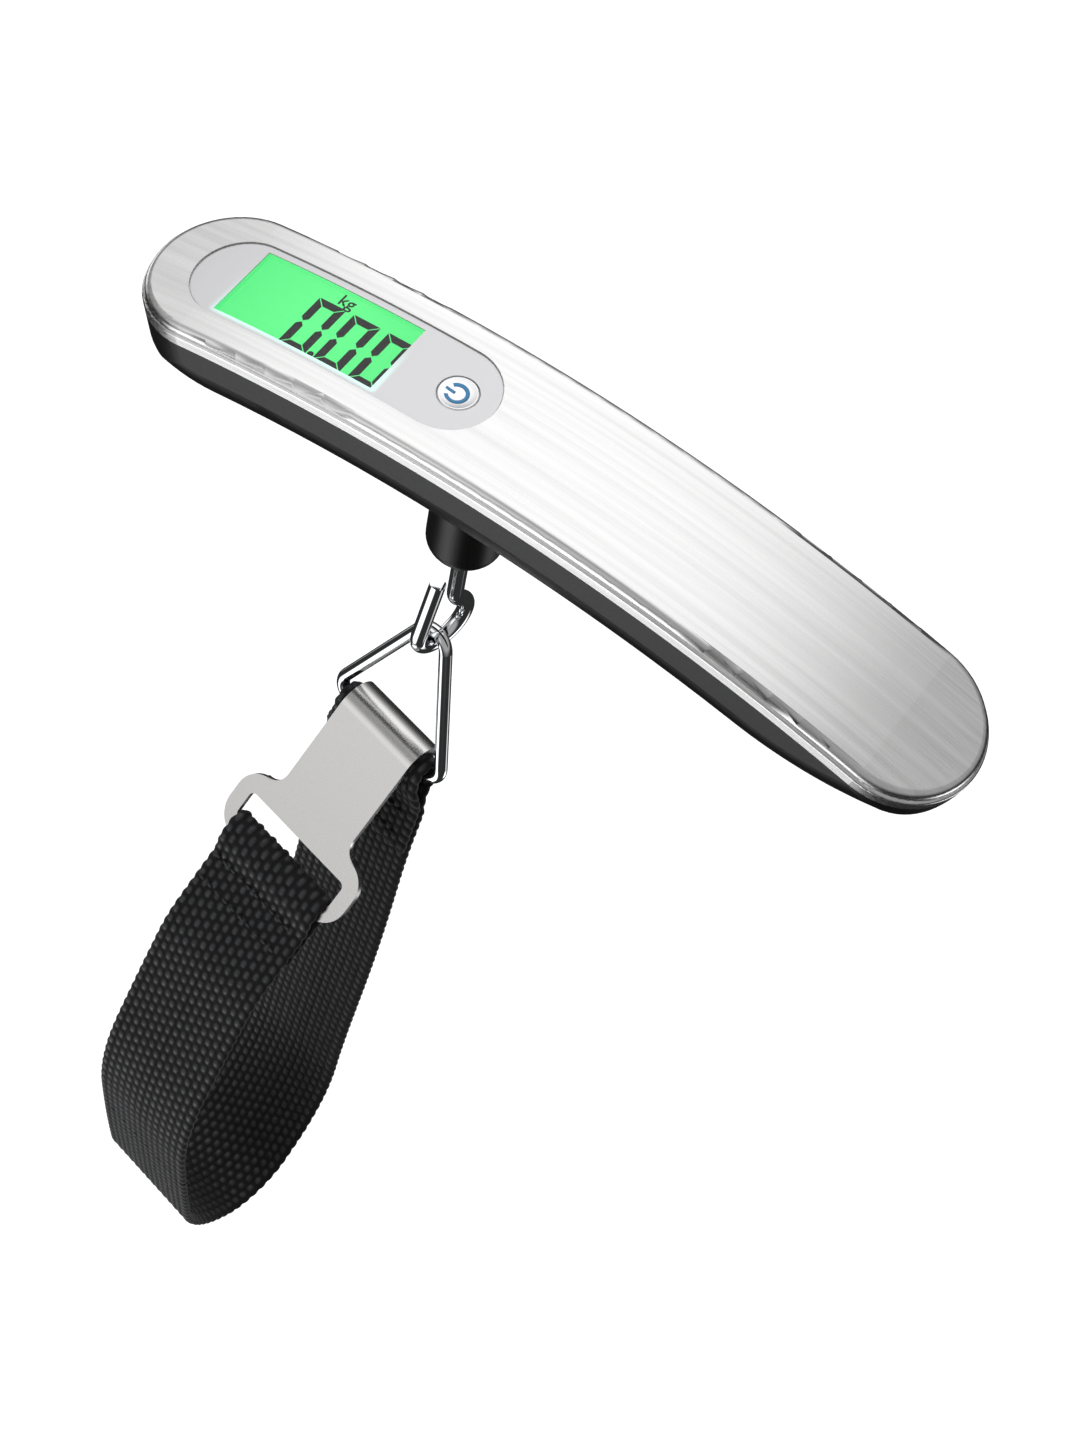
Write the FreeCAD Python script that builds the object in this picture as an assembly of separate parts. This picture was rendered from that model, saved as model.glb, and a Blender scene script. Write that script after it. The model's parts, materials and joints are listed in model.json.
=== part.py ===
"""Digital luggage scale: arched two-part handle with a display and a push button, a swivel hook
on a load cell, a triangular ring, a webbing loop and the plate that hooks the loop shut.

Millimetres. +Z up, +X along the handle towards its plain end, -Y towards the person who reads it.
The origin is on the hook's swivel axis, at the height of the parting arc's crown.
"""
import FreeCAD, Part
import math
import os

V = FreeCAD.Vector
ORIGIN = V(0, 0, 0)

# ---------------------------------------------------------------- handle, driving dimensions
arch_radius = 271.0        # parting line between cover and shell, seen from the side
handle_arc = 158.0         # length of that arc from tip to tip
handle_width = 29.0
boss_offset = 14.6         # hook axis, from mid-length towards the display end
shell_depth = 13.0
shell_wall = 1.8
shell_corner = 8.0         # rounding of the shell's lower edges
tail_radius = 58.0         # underside sweeping up to the plain tip
tail_start = 45.0          # where that sweep starts, along the arc from mid-length
nose_radius = 24.0         # the same at the display end
nose_start = -60.0
cover_rise = 3.6
cover_sheet = 0.6
cover_ledge = 0.55         # small step around the cover's rim
cover_step = 1.5           # depth of that step below the top
cover_edge = 1.3           # rounding of the top edge
rim_edge = 0.5             # rounding of the rim below the step

# display panel, window and button
panel_centre = -41.9
panel_length = 57.8
panel_width = 17.3
panel_gap = 0.2
panel_recess = 0.3
panel_sheet = 1.0
panel_flange = 1.2         # how far the panel reaches under the cover's edge, all round
window_centre = -46.8
window_length = 31.0
window_width = 14.7
window_gap = 0.05
window_recess = 0.15
window_sheet = 0.9
button_centre = -20.1
button_radius = 3.4
button_gap = 0.12
button_travel = 0.7
button_flange = 4.1
button_edge = 0.3
button_rim = 0.35          # flat left around the dish
button_dish = 0.45
button_sheet = 0.5         # thickness of the flange under the panel
stem_radius = 1.5
stem_foot = 0.35           # height of the stem's foot above the parting arc, at rest

# electronics, stacked under the window
glass_length = 33.0
glass_width = 16.4
glass_thick = 1.3
glass_top = 1.4            # the flat glass keeps clear of the curved window
backlight_thick = 3.0
stack_gap = 0.05
zebra_width = 1.2
zebra_margin = 0.2         # strips to backlight, and short of the glass's ends
board_length = 49.5
board_width = 20.0
board_thick = 1.2
board_top = -3.0
chip_place = -50.0
chip_radius = 3.8
chip_height = 1.4
switch_side = 4.5
switch_body = 1.1
plunger_radius = 1.2
plunger_slack = 0.18       # plunger to stem at full travel

# frame, screws
frame_sheet = 1.2
frame_gap = 0.3
frame_window_gap = 0.6     # frame to the glass, all round
post_radius = 1.3
board_screw_radius = 0.6
board_head_radius = 1.2
board_head_height = 0.6
board_screw_places = (-65.3, -26.2)
shell_screw_radius = 1.0
shell_screw_places = (-71.0, 61.0)
shell_head_radius = 1.9
shell_head_height = 1.2
shell_head_seat = -8.0
head_play = 0.2
screw_bite = 0.3           # how far a screw runs into the frame's sheet
screw_bottom_gap = 0.1     # hole past the screw's end
screw_tower = 2.7
tower_joint = -5.0         # where the frame's tower meets the shell's
screw_clearance = 0.05

# load cell
cell_length = 41.0
cell_width = 12.0
cell_height = 5.6
cell_top = -4.6
cell_free_end = 7.0        # metal beyond the hook's axis
flexure_hole = 1.9
flexure_span = 8.0
flexure_centre = 14.5
flexure_slit = 1.0
shank_play = 0.3           # hook's shank in the load cell
counterbore_radius = 3.9
counterbore_depth = 3.4
cell_screw_radius = 1.2
cell_screw_places = (25.5, 31.0)
cell_screw_bite = 1.0      # thread into the shell's pad
cell_head_radius = 1.9
cell_head_height = 1.2
plate_thick = 0.9
plate_width = 12.6
pad_side = 13.0
gauge_length = 11.0
gauge_width = 8.0
gauge_height = 2.6
wire_radius = 0.4
cell_wire_lanes = (-3.0, -1.5, 1.5, 3.0)
battery_wire_lanes = (-8.0, 8.0)
wire_end_gap = 0.12

# coin cell and door
coin_radius = 10.0
coin_thick = 3.2
coin_bottom = -9.3
coin_centre = 37.0
coin_play = 0.15
contact_room = 0.9         # between the coin and the tray's roof
contact_sheet = 0.3
tray_wall = 0.7
tray_roof = 0.8
tray_gap = 0.3             # tray to the shell
tray_lift = 0.3            # the tray's rim stops short of the coin's lower face
terminal_side = 2.0        # the tray's two blocks that the wires end in
terminal_place = 7.0
tray_post_radius = 1.6
tray_post_places = (-7.0, 7.0)
door_end_room = 1.3        # coin to the door opening's ends
door_side_room = 0.7       # and to its sides
door_gap = 0.4
door_top = -9.0
door_pad_radius = 6.5
pad_floor_gap = 0.05       # the door's inside is arched under the flat disc
pad_coin_gap = 0.1
notch_length = 3.0         # finger notch in the door's outside
notch_width = 8.0
notch_depth = 0.8
notch_margin = 1.1

# boss and hook
boss_radius = 6.65
boss_bottom = -34.3
boss_edge = 3.0
boss_bore = 4.3
bush_height = 4.0
bush_radius = 3.4
bush_clearance = 0.08
hook_wire = 2.9
hook_top = -5.0
bight_radius = 5.5         # to the wire's centre line
bight_back = 3.5           # how far the back of the bight stands behind the axis
bight_level = -56.0
bend_radius = 5.0
tip_lean = 11.0            # degrees, the tip leans in towards the shank
tip_length = 13.5
washer_radius = 3.5
washer_thick = 0.6
washer_gap = 0.05          # it turns on the load cell's seat
nut_flats = 5.5
nut_height = 1.8

# ring, webbing and hook-on plate
ring_wire = 2.4
ring_side_play = 1.9       # gathered webbing to the side wires
ring_height = 32.0         # to the point where the side wires would meet
ring_apex_bend = 3.6
ring_corner_bend = 2.4
ring_clearance = 0.06
ring_swing = 19.0          # degrees from plumb, towards the reader
chain_twist = -12.0        # degrees that the hook is turned about its shank
webbing = 24.0
webbing_thick = 1.6
eye_play = 0.35            # webbing to ring bar
eye_gather = 2.4           # webbing is drawn in by this where it is folded through the ring
layer_gap = 0.05
back_tail = 22.0           # sewn ends of the webbing, past the ring bar
front_tail = 16.0          # and past the plate's cross bar
back_lean = 10.0
plate_lean = 41.0
buckle_sheet = 1.2
buckle_length = 34.0       # ring bar to the lower edge of the cross bar
lip_play = 0.3
lip_wrap = 50.0            # degrees past the top of the bar
neck_width = 17.5
buckle_arm = 3.05          # width of the plate's two arms beside the slot
shoulder = 20.5            # ring bar to the top of the shoulders
slot_top = 24.6
slot_play = 0.45           # webbing to the slot's ends
cross_bar = 3.4
bar_play = 0.3
buckle_split = 46.0        # the webbing moves with the plate down to here
split_gap = 0.02
loop_straight = 55.0       # the front run follows the plate's line this far from the ring bar
back_straight = 26.0       # and the back run its own line
loop_points = [(-55.5, -75.5), (-54.0, -101.5), (-50.5, -128.5), (-31.5, -144.5), (-13.0, -122.5),
               (-8.2, -78.0)]       # (y, z) from the ring bar, between those two
ease_share = 0.47
pair_closed = 9.0          # below the ring bar the two layers have come together by here
pair_apart = 4.0

# ---------------------------------------------------------------- derived places
mid_x = boss_offset
half_arc = handle_arc / 2
half_width = handle_width / 2
cap_place = half_arc - half_width
arch_centre = V(mid_x, 0, -arch_radius)

panel_top = cover_rise - panel_recess
panel_low = panel_top - panel_sheet
window_top = panel_top - window_recess

glass_low = glass_top - glass_thick
light_top = glass_low - stack_gap
zebra_side = (glass_width - zebra_width) / 2
board_end = button_centre + switch_side / 2
board_centre = board_end - board_length / 2
board_low = board_top - board_thick
board_edge = board_centre + arch_radius * math.atan(board_length / 2 / (arch_radius + board_low))
wire_level = (board_top + board_low) / 2 + board_length ** 2 / (8 * arch_radius)

cell_low = cell_top - cell_height
pad_top = cell_low - plate_thick
pad_x = sum(cell_screw_places) / 2
cell_screw_end = pad_top - cell_screw_bite
hook_seat = cell_top - counterbore_depth

door_length = 2 * (coin_radius + door_end_room)
door_width = 2 * (coin_radius + door_side_room)
tray_radius = coin_radius + coin_play + tray_wall
tray_rim = coin_bottom + tray_lift
coin_top = coin_bottom + coin_thick
tray_low = coin_top + contact_room
tray_top = tray_low + tray_roof


def yz(a, b):
    return V(0, a, b)


def xz(a, b):
    return V(a, 0, b)


def xy(a, b):
    return V(a, b, 0)


def path_edges(corners, plane, closed=True, offset=0.0):
    """Lines and tangent arcs along corners (a, b, radius), shifted to the left by offset."""
    count = len(corners)
    stations = []
    for i, (a, b, radius) in enumerate(corners):
        here = V(a, b, 0)
        first = not closed and i == 0
        last = not closed and i == count - 1
        before = here - V(*corners[i - 1][:2], 0)
        after = V(*corners[(i + 1) % count][:2], 0) - here
        if first:
            before = after
        if last:
            after = before
        before = V(before).normalize()
        after = V(after).normalize()
        left_before = V(-before.y, before.x, 0)
        left_after = V(-after.y, after.x, 0)
        turn = math.atan2(before.cross(after).z, before.dot(after))
        if abs(turn) < 1e-7 or radius == 0:
            mitre = 1 + left_before.dot(left_after)
            point = here + (left_before + left_after) * (offset / mitre)
            stations.append((point, None, point))
            continue
        reach = radius * math.tan(abs(turn) / 2)
        side = math.copysign(1, turn)
        entry = here - before * reach
        leave = here + after * reach
        centre = entry + left_before * (side * radius)
        middle = centre + V(here - centre).normalize() * (radius - side * offset)
        stations.append((entry + left_before * offset, middle, leave + left_after * offset))
    edges = []
    for i, (entry, middle, leave) in enumerate(stations):
        if middle is not None:
            arc = [plane(p.x, p.y) for p in (entry, middle, leave)]
            edges.append(Part.Arc(*arc).toShape())
        if i == count - 1 and not closed:
            break
        following = stations[(i + 1) % count][0]
        if (following - leave).Length > 1e-6:
            edges.append(Part.LineSegment(plane(leave.x, leave.y), plane(following.x, following.y)).toShape())
    return edges


def outline(corners, plane):
    """A flat face inside rounded corners."""
    return Part.Face(Part.Wire(path_edges(corners, plane)))


def ribbon(corners, thick, plane):
    """A flat face of constant thickness along an open path."""
    one_side = path_edges(corners, plane, False, thick / 2)
    other = path_edges(corners, plane, False, -thick / 2)
    start = Part.LineSegment(other[0].firstVertex().Point, one_side[0].firstVertex().Point).toShape()
    one_end = one_side[-1].lastVertex().Point
    other_end = other[-1].lastVertex().Point
    end = Part.LineSegment(one_end, other_end).toShape()
    return Part.Face(Part.Wire(Part.__sortEdges__(one_side + [end] + other + [start])))


def rod(corners, radius, plane, closed=False):
    """Round wire swept along a path that starts along its first run."""
    edges = path_edges(corners, plane, closed)
    spine = Part.Wire(Part.__sortEdges__(edges))
    start = edges[0].valueAt(edges[0].FirstParameter)
    heading = edges[0].tangentAt(edges[0].FirstParameter)
    section = Part.Wire(Part.Circle(start, heading, radius).toShape())
    return spine.makePipeShell([section], True, True)


def box(length, width, low, high, x=0.0, y=0.0):
    return Part.makeBox(length, width, high - low, V(x - length / 2, y - width / 2, low))


def drum(radius, low, high, x=0.0, y=0.0):
    return Part.makeCylinder(radius, high - low, V(x, y, low))


def on_arch(shape, s):
    """Set a shape drawn about the origin on the parting arc, s along it from mid-length."""
    angle = s / arch_radius
    spot = V(mid_x + arch_radius * math.sin(angle), 0, arch_radius * (math.cos(angle) - 1))
    placed = shape.copy()
    turned = FreeCAD.Placement(spot, FreeCAD.Rotation(V(0, 1, 0), math.degrees(angle)))
    placed.Placement = turned.multiply(placed.Placement)
    return placed


def board_sag(s):
    """How far the parting arc at s lies below the flat board's own plane."""
    return arch_radius * (math.cos((s - board_centre) / arch_radius) - 1)


def on_board(shape, s):
    """Set a shape drawn about the origin square to the flat board, level with s on the arch."""
    along = arch_radius * math.sin((s - board_centre) / arch_radius)
    return on_arch(shape.translated(V(along, 0, 0)), board_centre)


def strip(face, s0, s1):
    """Sweep a section drawn in the YZ plane along the arch."""
    start = on_arch(face, s0)
    return start.revolve(arch_centre, V(0, 1, 0), math.degrees((s1 - s0) / arch_radius))


def pill(half):
    """Arched body with round ends, from half of its section, listed from the middle outwards."""
    side = half[1:-1]
    section = outline(side + [(-y, z, r) for y, z, r in reversed(side)], yz)
    body = strip(section, -cap_place, cap_place)
    half_face = outline(half, yz)
    for s, sweep in ((-cap_place, 180), (cap_place, -180)):
        body = body.fuse(on_arch(half_face.revolve(ORIGIN, V(0, 0, 1), sweep), s))
    return body.removeSplitter()


def stadium(length, width, low, high):
    end = width / 2
    far = length / 2
    corners = [(-far, -end, end), (far, -end, end), (far, end, end), (-far, end, end)]
    corners = [(x, y, r * (1 - 1e-6)) for x, y, r in corners]
    return outline(corners, xy).extrude(V(0, 0, high - low)).translated(V(0, 0, low))


def layer(width_half, low, high):
    """Flat-topped arched layer with round ends."""
    return pill([(0, high, 0), (width_half, high, 0), (width_half, low, 0), (0, low, 0)])


# ---------------------------------------------------------------- shell
def end_wheel(start, radius, inset, towards_tip):
    """Everything on the middle's side of start, and beyond it a wheel that lifts the underside."""
    reach = handle_arc
    block = Part.makeBox(reach, handle_width * 2, reach, V(0, -handle_width, -reach / 2))
    if towards_tip > 0:
        block.translate(V(-reach, 0, 0))
    wheel_width = 2 * (half_width - inset)
    rim = radius - inset
    wheel = Part.makeCylinder(rim, wheel_width, V(0, -wheel_width / 2, radius - shell_depth), V(0, 1, 0))
    rims = [e for e in wheel.Edges if len(e.Vertexes) == 1]
    wheel = wheel.makeFillet(shell_corner - inset, rims)
    return on_arch(block.fuse(wheel), start)


def shell_form(inset, top):
    half = half_width - inset
    floor = inset - shell_depth
    body = pill([(0, top, 0), (half, top, 0), (half, floor, shell_corner - inset), (0, floor, 0)])
    body = body.common(end_wheel(tail_start, tail_radius, inset, 1))
    return body.common(end_wheel(nose_start, nose_radius, inset, -1))


def boss_form():
    """Round boss that the hook hangs from, with a domed lower edge."""
    post = drum(boss_radius, boss_bottom, -shell_depth + shell_wall)
    lower = [e for e in post.Edges if len(e.Vertexes) == 1 and e.CenterOfMass.z < boss_bottom + 0.1]
    return post.makeFillet(boss_edge, lower)


def tower(s, radius, low, high):
    return on_arch(drum(radius, low, high), s)


def make_shell():
    outer = shell_form(0.0, 0.0)
    cavity = shell_form(shell_wall, 1.0)
    shell = outer.cut(cavity).fuse(boss_form())
    shell = shell.fuse(box(pad_side, cell_width, -shell_depth + shell_wall / 2, pad_top, pad_x))
    for s in shell_screw_places:
        towering = tower(s, screw_tower, -shell_depth, tower_joint).common(outer)
        shell = shell.fuse(towering)
    shell = shell.cut(drum(boss_bore, boss_bottom + bush_height, pad_top))
    shell = shell.cut(drum(bush_radius, boss_bottom - 1, boss_bottom + bush_height))
    for x in cell_screw_places:
        shell = shell.cut(drum(cell_screw_radius + screw_clearance, cell_screw_end - screw_bottom_gap, pad_top, x))
    for s in shell_screw_places:
        shell = shell.cut(tower(s, shell_screw_radius + screw_clearance, -2 * shell_depth, 0))
        shell = shell.cut(tower(s, shell_head_radius + head_play, -2 * shell_depth, shell_head_seat))
    room = on_arch(drum(tray_radius + tray_gap, tray_rim - tray_gap, tray_top + tray_gap), coin_centre)
    return shell.cut(room).cut(door_block(0.0)).removeSplitter()


def door_block(gap):
    block = box(door_length - 2 * gap, door_width - 2 * gap, -shell_depth - 2, door_top - gap)
    return on_arch(block, coin_centre)


# ---------------------------------------------------------------- cover and what shows in it
def make_cover():
    rim = half_width - cover_ledge
    step = cover_rise - cover_step
    sheet = cover_sheet
    half = [(0, cover_rise, 0), (rim, cover_rise, cover_edge), (rim, step, 0.2),
            (half_width, step, rim_edge), (half_width, 0, 0), (half_width - sheet, 0, 0),
            (half_width - sheet, step - sheet, 0.2), (rim - sheet, step - sheet, 0.3),
            (rim - sheet, cover_rise - sheet, cover_edge - sheet), (0, cover_rise - sheet, 0)]
    opening = on_arch(stadium(panel_length, panel_width, 0, cover_rise + 2), panel_centre)
    return pill(half).cut(opening)


def arched_slab(low, high):
    """A slice of the arch between two heights, for pieces cut out of it."""
    section = outline([(-half_width, low, 0), (half_width, low, 0), (half_width, high, 0),
                       (-half_width, high, 0)], yz)
    return strip(section, -half_arc, half_arc)


def make_panel():
    """Plate in the cover's opening, with a flange that lies against the cover's underside."""
    blank = on_arch(stadium(panel_length - 2 * panel_gap, panel_width - 2 * panel_gap, -2, 8), panel_centre)
    under = on_arch(stadium(panel_length + 2 * panel_flange, panel_width + 2 * panel_flange, -2, 8),
                    panel_centre)
    panel = blank.common(arched_slab(panel_low, panel_top))
    panel = panel.fuse(under.common(arched_slab(panel_low, cover_rise - cover_sheet)))
    window = on_arch(box(window_length, window_width, -2, 8), window_centre)
    hole = on_arch(drum(button_radius + button_gap, -2, 8), button_centre)
    return panel.cut(window).cut(hole)


def make_window():
    blank = box(window_length - 2 * window_gap, window_width - 2 * window_gap, -2, 8)
    return on_arch(blank, window_centre).common(arched_slab(window_top - window_sheet, window_top))


def make_glass():
    return on_board(box(glass_length, glass_width, glass_low, glass_top), window_centre)


def make_backlight():
    width = glass_width - 2 * (zebra_width + zebra_margin)
    return on_board(box(glass_length, width, light_top - backlight_thick, light_top), window_centre)


def make_zebra():
    """Two rubber strips that join the glass to the board."""
    length = glass_length - 2 * zebra_margin
    strips = [on_board(box(length, zebra_width, board_top, glass_low, 0, y), window_centre)
              for y in (-zebra_side, zebra_side)]
    return Part.makeCompound(strips)


def make_board():
    board = on_arch(box(board_length, board_width, board_low, board_top), board_centre)
    for s in board_screw_places:
        hole = drum(board_screw_radius + screw_clearance, board_low - 1, board_top + 1)
        board = board.cut(on_board(hole, s))
    return board


def make_chip():
    """Black resin over the bare chip, a shallow dome on the board's underside."""
    ball_radius = (chip_radius ** 2 + chip_height ** 2) / (2 * chip_height)
    ball = Part.makeSphere(ball_radius, V(0, 0, board_low + ball_radius - chip_height))
    below = box(3 * chip_radius, 3 * chip_radius, board_low - 2 * chip_height, board_low)
    return on_board(ball.common(below), chip_place)


def make_switch():
    """Tact switch square to the board, its plunger just under the pressed button's stem."""
    pressed = stem_foot - button_travel - plunger_slack + board_sag(button_centre)
    top = board_top + switch_body
    body = box(switch_side, switch_side, board_top, top).fuse(drum(plunger_radius, top, pressed))
    return on_board(body, button_centre)


def make_button():
    """Dished cap, a flange that keeps it under the panel and a stem down to the switch."""
    flange_top = panel_low - stack_gap
    flange_low = flange_top - button_sheet
    rim = button_radius - button_rim
    dish_radius = (rim ** 2 + button_dish ** 2) / (2 * button_dish)
    profile = [(0, stem_foot, 0), (stem_radius, stem_foot, 0), (stem_radius, flange_low, 0),
               (button_flange, flange_low, 0), (button_flange, flange_top, 0),
               (button_radius, flange_top, 0), (button_radius, panel_top, button_edge), (0, panel_top, 0)]
    cap = outline(profile, xz).revolve(ORIGIN, V(0, 0, 1), 360)
    dish = Part.makeSphere(dish_radius, V(0, 0, panel_top - button_dish + dish_radius))
    return on_arch(cap.cut(dish), button_centre)


def make_frame():
    """Thin arched frame: the board, the tray and the shell are screwed or pushed up to it."""
    half = half_width - cover_sheet - frame_gap
    frame = layer(half, 0, frame_sheet)
    window = box(glass_length + 2 * frame_window_gap, glass_width + 2 * frame_window_gap, -3, 8)
    frame = frame.cut(on_board(window, window_centre))
    frame = frame.cut(on_arch(drum(button_flange + frame_window_gap, -3, 8), button_centre))
    for s in board_screw_places:
        middle = board_sag(s) + frame_sheet / 2
        hole = drum(board_screw_radius + screw_clearance, board_top - 1, board_end_of(s) + screw_bottom_gap)
        frame = frame.fuse(on_board(drum(post_radius, board_top, middle), s)).cut(on_board(hole, s))
    for s in shell_screw_places:
        hole = tower(s, shell_screw_radius + screw_clearance, tower_joint - 1, screw_bite + screw_bottom_gap)
        frame = frame.fuse(tower(s, screw_tower, tower_joint, frame_sheet / 2)).cut(hole)
    for y in tray_post_places:
        frame = frame.fuse(on_arch(drum(tray_post_radius, tray_top, frame_sheet / 2, 0, y), coin_centre))
    return frame.removeSplitter()


def board_end_of(s):
    """Height of a board screw's end over the board's plane."""
    return board_sag(s) + screw_bite


def screw(radius, head, head_height, seat, top):
    """Round-headed screw driven from below: its head is under seat."""
    body = drum(radius, seat, top).fuse(drum(head, seat - head_height, seat))
    slot = box(2.6 * radius, 0.4 * radius, seat - head_height - 1, seat - head_height / 2)
    return body.cut(slot)


def make_board_screws():
    return Part.makeCompound([
        on_board(screw(board_screw_radius, board_head_radius, board_head_height, board_low, board_end_of(s)), s)
        for s in board_screw_places])


def make_shell_screws():
    one = screw(shell_screw_radius, shell_head_radius, shell_head_height, shell_head_seat, screw_bite)
    return Part.makeCompound([on_arch(one, s) for s in shell_screw_places])


# ---------------------------------------------------------------- load cell
def make_cell():
    centre = cell_length / 2 - cell_free_end
    bar = box(cell_length, cell_width, cell_low, cell_top, centre)
    middle = (cell_low + cell_top) / 2
    for x in (flexure_centre - flexure_span / 2, flexure_centre + flexure_span / 2):
        eye = Part.makeCylinder(flexure_hole, cell_width, V(x, -cell_width / 2, middle), V(0, 1, 0))
        bar = bar.cut(eye)
    bar = bar.cut(box(flexure_span, cell_width, middle - flexure_slit / 2, middle + flexure_slit / 2,
                      flexure_centre))
    bar = bar.cut(drum(counterbore_radius, hook_seat, cell_top))
    bar = bar.cut(drum(hook_wire / 2 + shank_play, cell_low, cell_top))
    for x in cell_screw_places:
        bar = bar.cut(drum(cell_screw_radius + screw_clearance, cell_low, cell_top, x))
    return bar


def make_chassis_plate():
    plate = box(pad_side, plate_width, pad_top, cell_low, pad_x)
    for x in cell_screw_places:
        plate = plate.cut(drum(cell_screw_radius + screw_clearance, pad_top, cell_low, x))
    return plate


def make_cell_screws():
    screws = []
    for x in cell_screw_places:
        body = drum(cell_screw_radius, cell_screw_end, cell_top, x)
        body = body.fuse(drum(cell_head_radius, cell_top, cell_top + cell_head_height, x))
        slot = box(2.6 * cell_screw_radius, 0.4 * cell_screw_radius, cell_top + cell_head_height / 2, 0, x)
        screws.append(body.cut(slot))
    return Part.makeCompound(screws)


def make_gauges():
    """Strain gauges under a block of white sealing compound."""
    return box(gauge_length, gauge_width, cell_top, cell_top + gauge_height, flexure_centre)


def arch_wire(y, s0, s1):
    loop = Part.Face(Part.Wire(Part.Circle(V(0, y, wire_level), V(1, 0, 0), wire_radius).toShape()))
    return strip(loop, s0, s1)


def make_cell_wires():
    gauge_start = flexure_centre - gauge_length / 2 - mid_x
    return Part.makeCompound([arch_wire(y, board_edge + wire_end_gap, gauge_start - wire_end_gap)
                              for y in cell_wire_lanes])


def make_battery_wires():
    tray_start = coin_centre - terminal_place - terminal_side / 2
    return Part.makeCompound([arch_wire(y, board_edge + wire_end_gap, tray_start - wire_end_gap)
                              for y in battery_wire_lanes])


# ---------------------------------------------------------------- coin cell, tray and door
def make_coin():
    coin = drum(coin_radius, coin_bottom, coin_top)
    rim = [e for e in coin.Edges if len(e.Vertexes) == 1]
    return on_arch(coin.makeFillet(0.3, rim), coin_centre)


def make_tray():
    inner = coin_radius + coin_play
    tray = drum(tray_radius, tray_rim, tray_top).cut(drum(inner, coin_bottom - 1, tray_low))
    for y in battery_wire_lanes:
        tray = tray.fuse(box(terminal_side, terminal_side, tray_low, wire_level + wire_radius,
                             -terminal_place, y))
    return on_arch(tray, coin_centre)


def make_contact_minus():
    """Dished spring leaf under the tray's roof that presses on the coin."""
    top = coin_top + contact_sheet
    rim_low = tray_low - contact_sheet
    profile = [(0, coin_top, 0), (2.0, coin_top, 0), (6.0, rim_low, 0), (8.0, rim_low, 0),
               (8.0, tray_low, 0), (5.9, tray_low, 0), (1.9, top, 0), (0, top, 0)]
    return on_arch(outline(profile, xz).revolve(ORIGIN, V(0, 0, 1), 360), coin_centre)


def make_contact_plus():
    """Curved strip against the coin's rim."""
    inner = coin_radius + 0.02
    outer = coin_radius + coin_play - 0.02
    profile = outline([(inner, coin_bottom + 0.6, 0), (outer, coin_bottom + 0.6, 0),
                       (outer, coin_top - 0.4, 0), (inner, coin_top - 0.4, 0)], xz)
    return on_arch(profile.revolve(ORIGIN, V(0, 0, 1), 70), coin_centre)


def make_door():
    door = shell_form(0.0, 0.0).cut(shell_form(shell_wall, 1.0)).common(door_block(door_gap))
    place = (door_length - notch_length) / 2 - notch_margin
    notch = box(notch_length, notch_width, -shell_depth - 2, -shell_depth + notch_depth, place)
    return door.cut(on_arch(notch, coin_centre))


def make_door_pad():
    """Foam disc on the door's inside that keeps the coin cell up against its spring."""
    return on_arch(drum(door_pad_radius, shell_wall - shell_depth + pad_floor_gap, coin_bottom - pad_coin_gap),
                   coin_centre)


# ---------------------------------------------------------------- boss bush, hook, washer, nut
def make_bush():
    bush = drum(bush_radius, boss_bottom + 0.2, boss_bottom + bush_height)
    return bush.cut(drum(hook_wire / 2 + bush_clearance, boss_bottom - 1, boss_bottom + bush_height + 1))


bight_centre = (bight_back - bight_radius, bight_level)


def hook_corners():
    """Centre line in the YZ plane: shank, double bend, bight and tip, as (y, z, radius)."""
    slope = math.acos(1 - bight_back / (2 * bend_radius))
    reach = bend_radius * math.tan(slope / 2)
    low_bend = bight_level + reach
    high_bend = low_bend + bight_back / math.tan(slope)
    bottom = bight_level - bight_radius
    lean = math.radians(tip_lean)
    front_turn = math.pi / 2 + lean
    front = bight_centre[0] - bight_radius * math.tan(front_turn / 2)
    rise = bight_radius * math.tan(front_turn / 2) + tip_length
    tip = (front + rise * math.sin(lean), bottom + rise * math.cos(lean))
    return [(0, hook_top, 0), (0, high_bend, bend_radius), (bight_back, low_bend, bend_radius),
            (bight_back, bottom, bight_radius), (front, bottom, bight_radius), (*tip, 0)]


def twist(shape):
    """Turn a hanging piece about the hook's shank, as the whole chain is turned at rest."""
    turned = shape.copy()
    turned.rotate(ORIGIN, V(0, 0, 1), chain_twist)
    return turned


def make_hook():
    return twist(rod(hook_corners(), hook_wire / 2, yz))


def make_washer():
    washer = drum(washer_radius, hook_seat + washer_gap, hook_seat + washer_thick)
    return washer.cut(drum(hook_wire / 2, hook_seat - 1, cell_top))


def make_nut():
    corner = nut_flats / math.sqrt(3)
    points = [(corner * math.cos(a), corner * math.sin(a), 0) for a in
              [math.radians(60 * k) for k in range(6)]]
    nut = outline(points, xy).extrude(V(0, 0, nut_height)).translated(V(0, 0, hook_seat + washer_thick))
    return nut.cut(drum(hook_wire / 2, hook_seat, 0))


# ---------------------------------------------------------------- ring
eye_width = webbing - eye_gather
ring_base = eye_width + 2 * (ring_side_play + ring_wire / 2)
slot_width = webbing + 2 * slot_play
buckle_width = slot_width + 2 * buckle_arm
swing = math.radians(ring_swing)
hang = V(0, -math.sin(swing), -math.cos(swing))
half_apex = math.atan(ring_base / 2 / ring_height)
apex_depth = bight_radius - hook_wire / 2 - ring_wire / 2 - ring_clearance
apex_cut = ring_apex_bend * (1 / math.sin(half_apex) - 1)
bar = V(0, *bight_centre) + hang * (apex_depth - apex_cut + ring_height)


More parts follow.
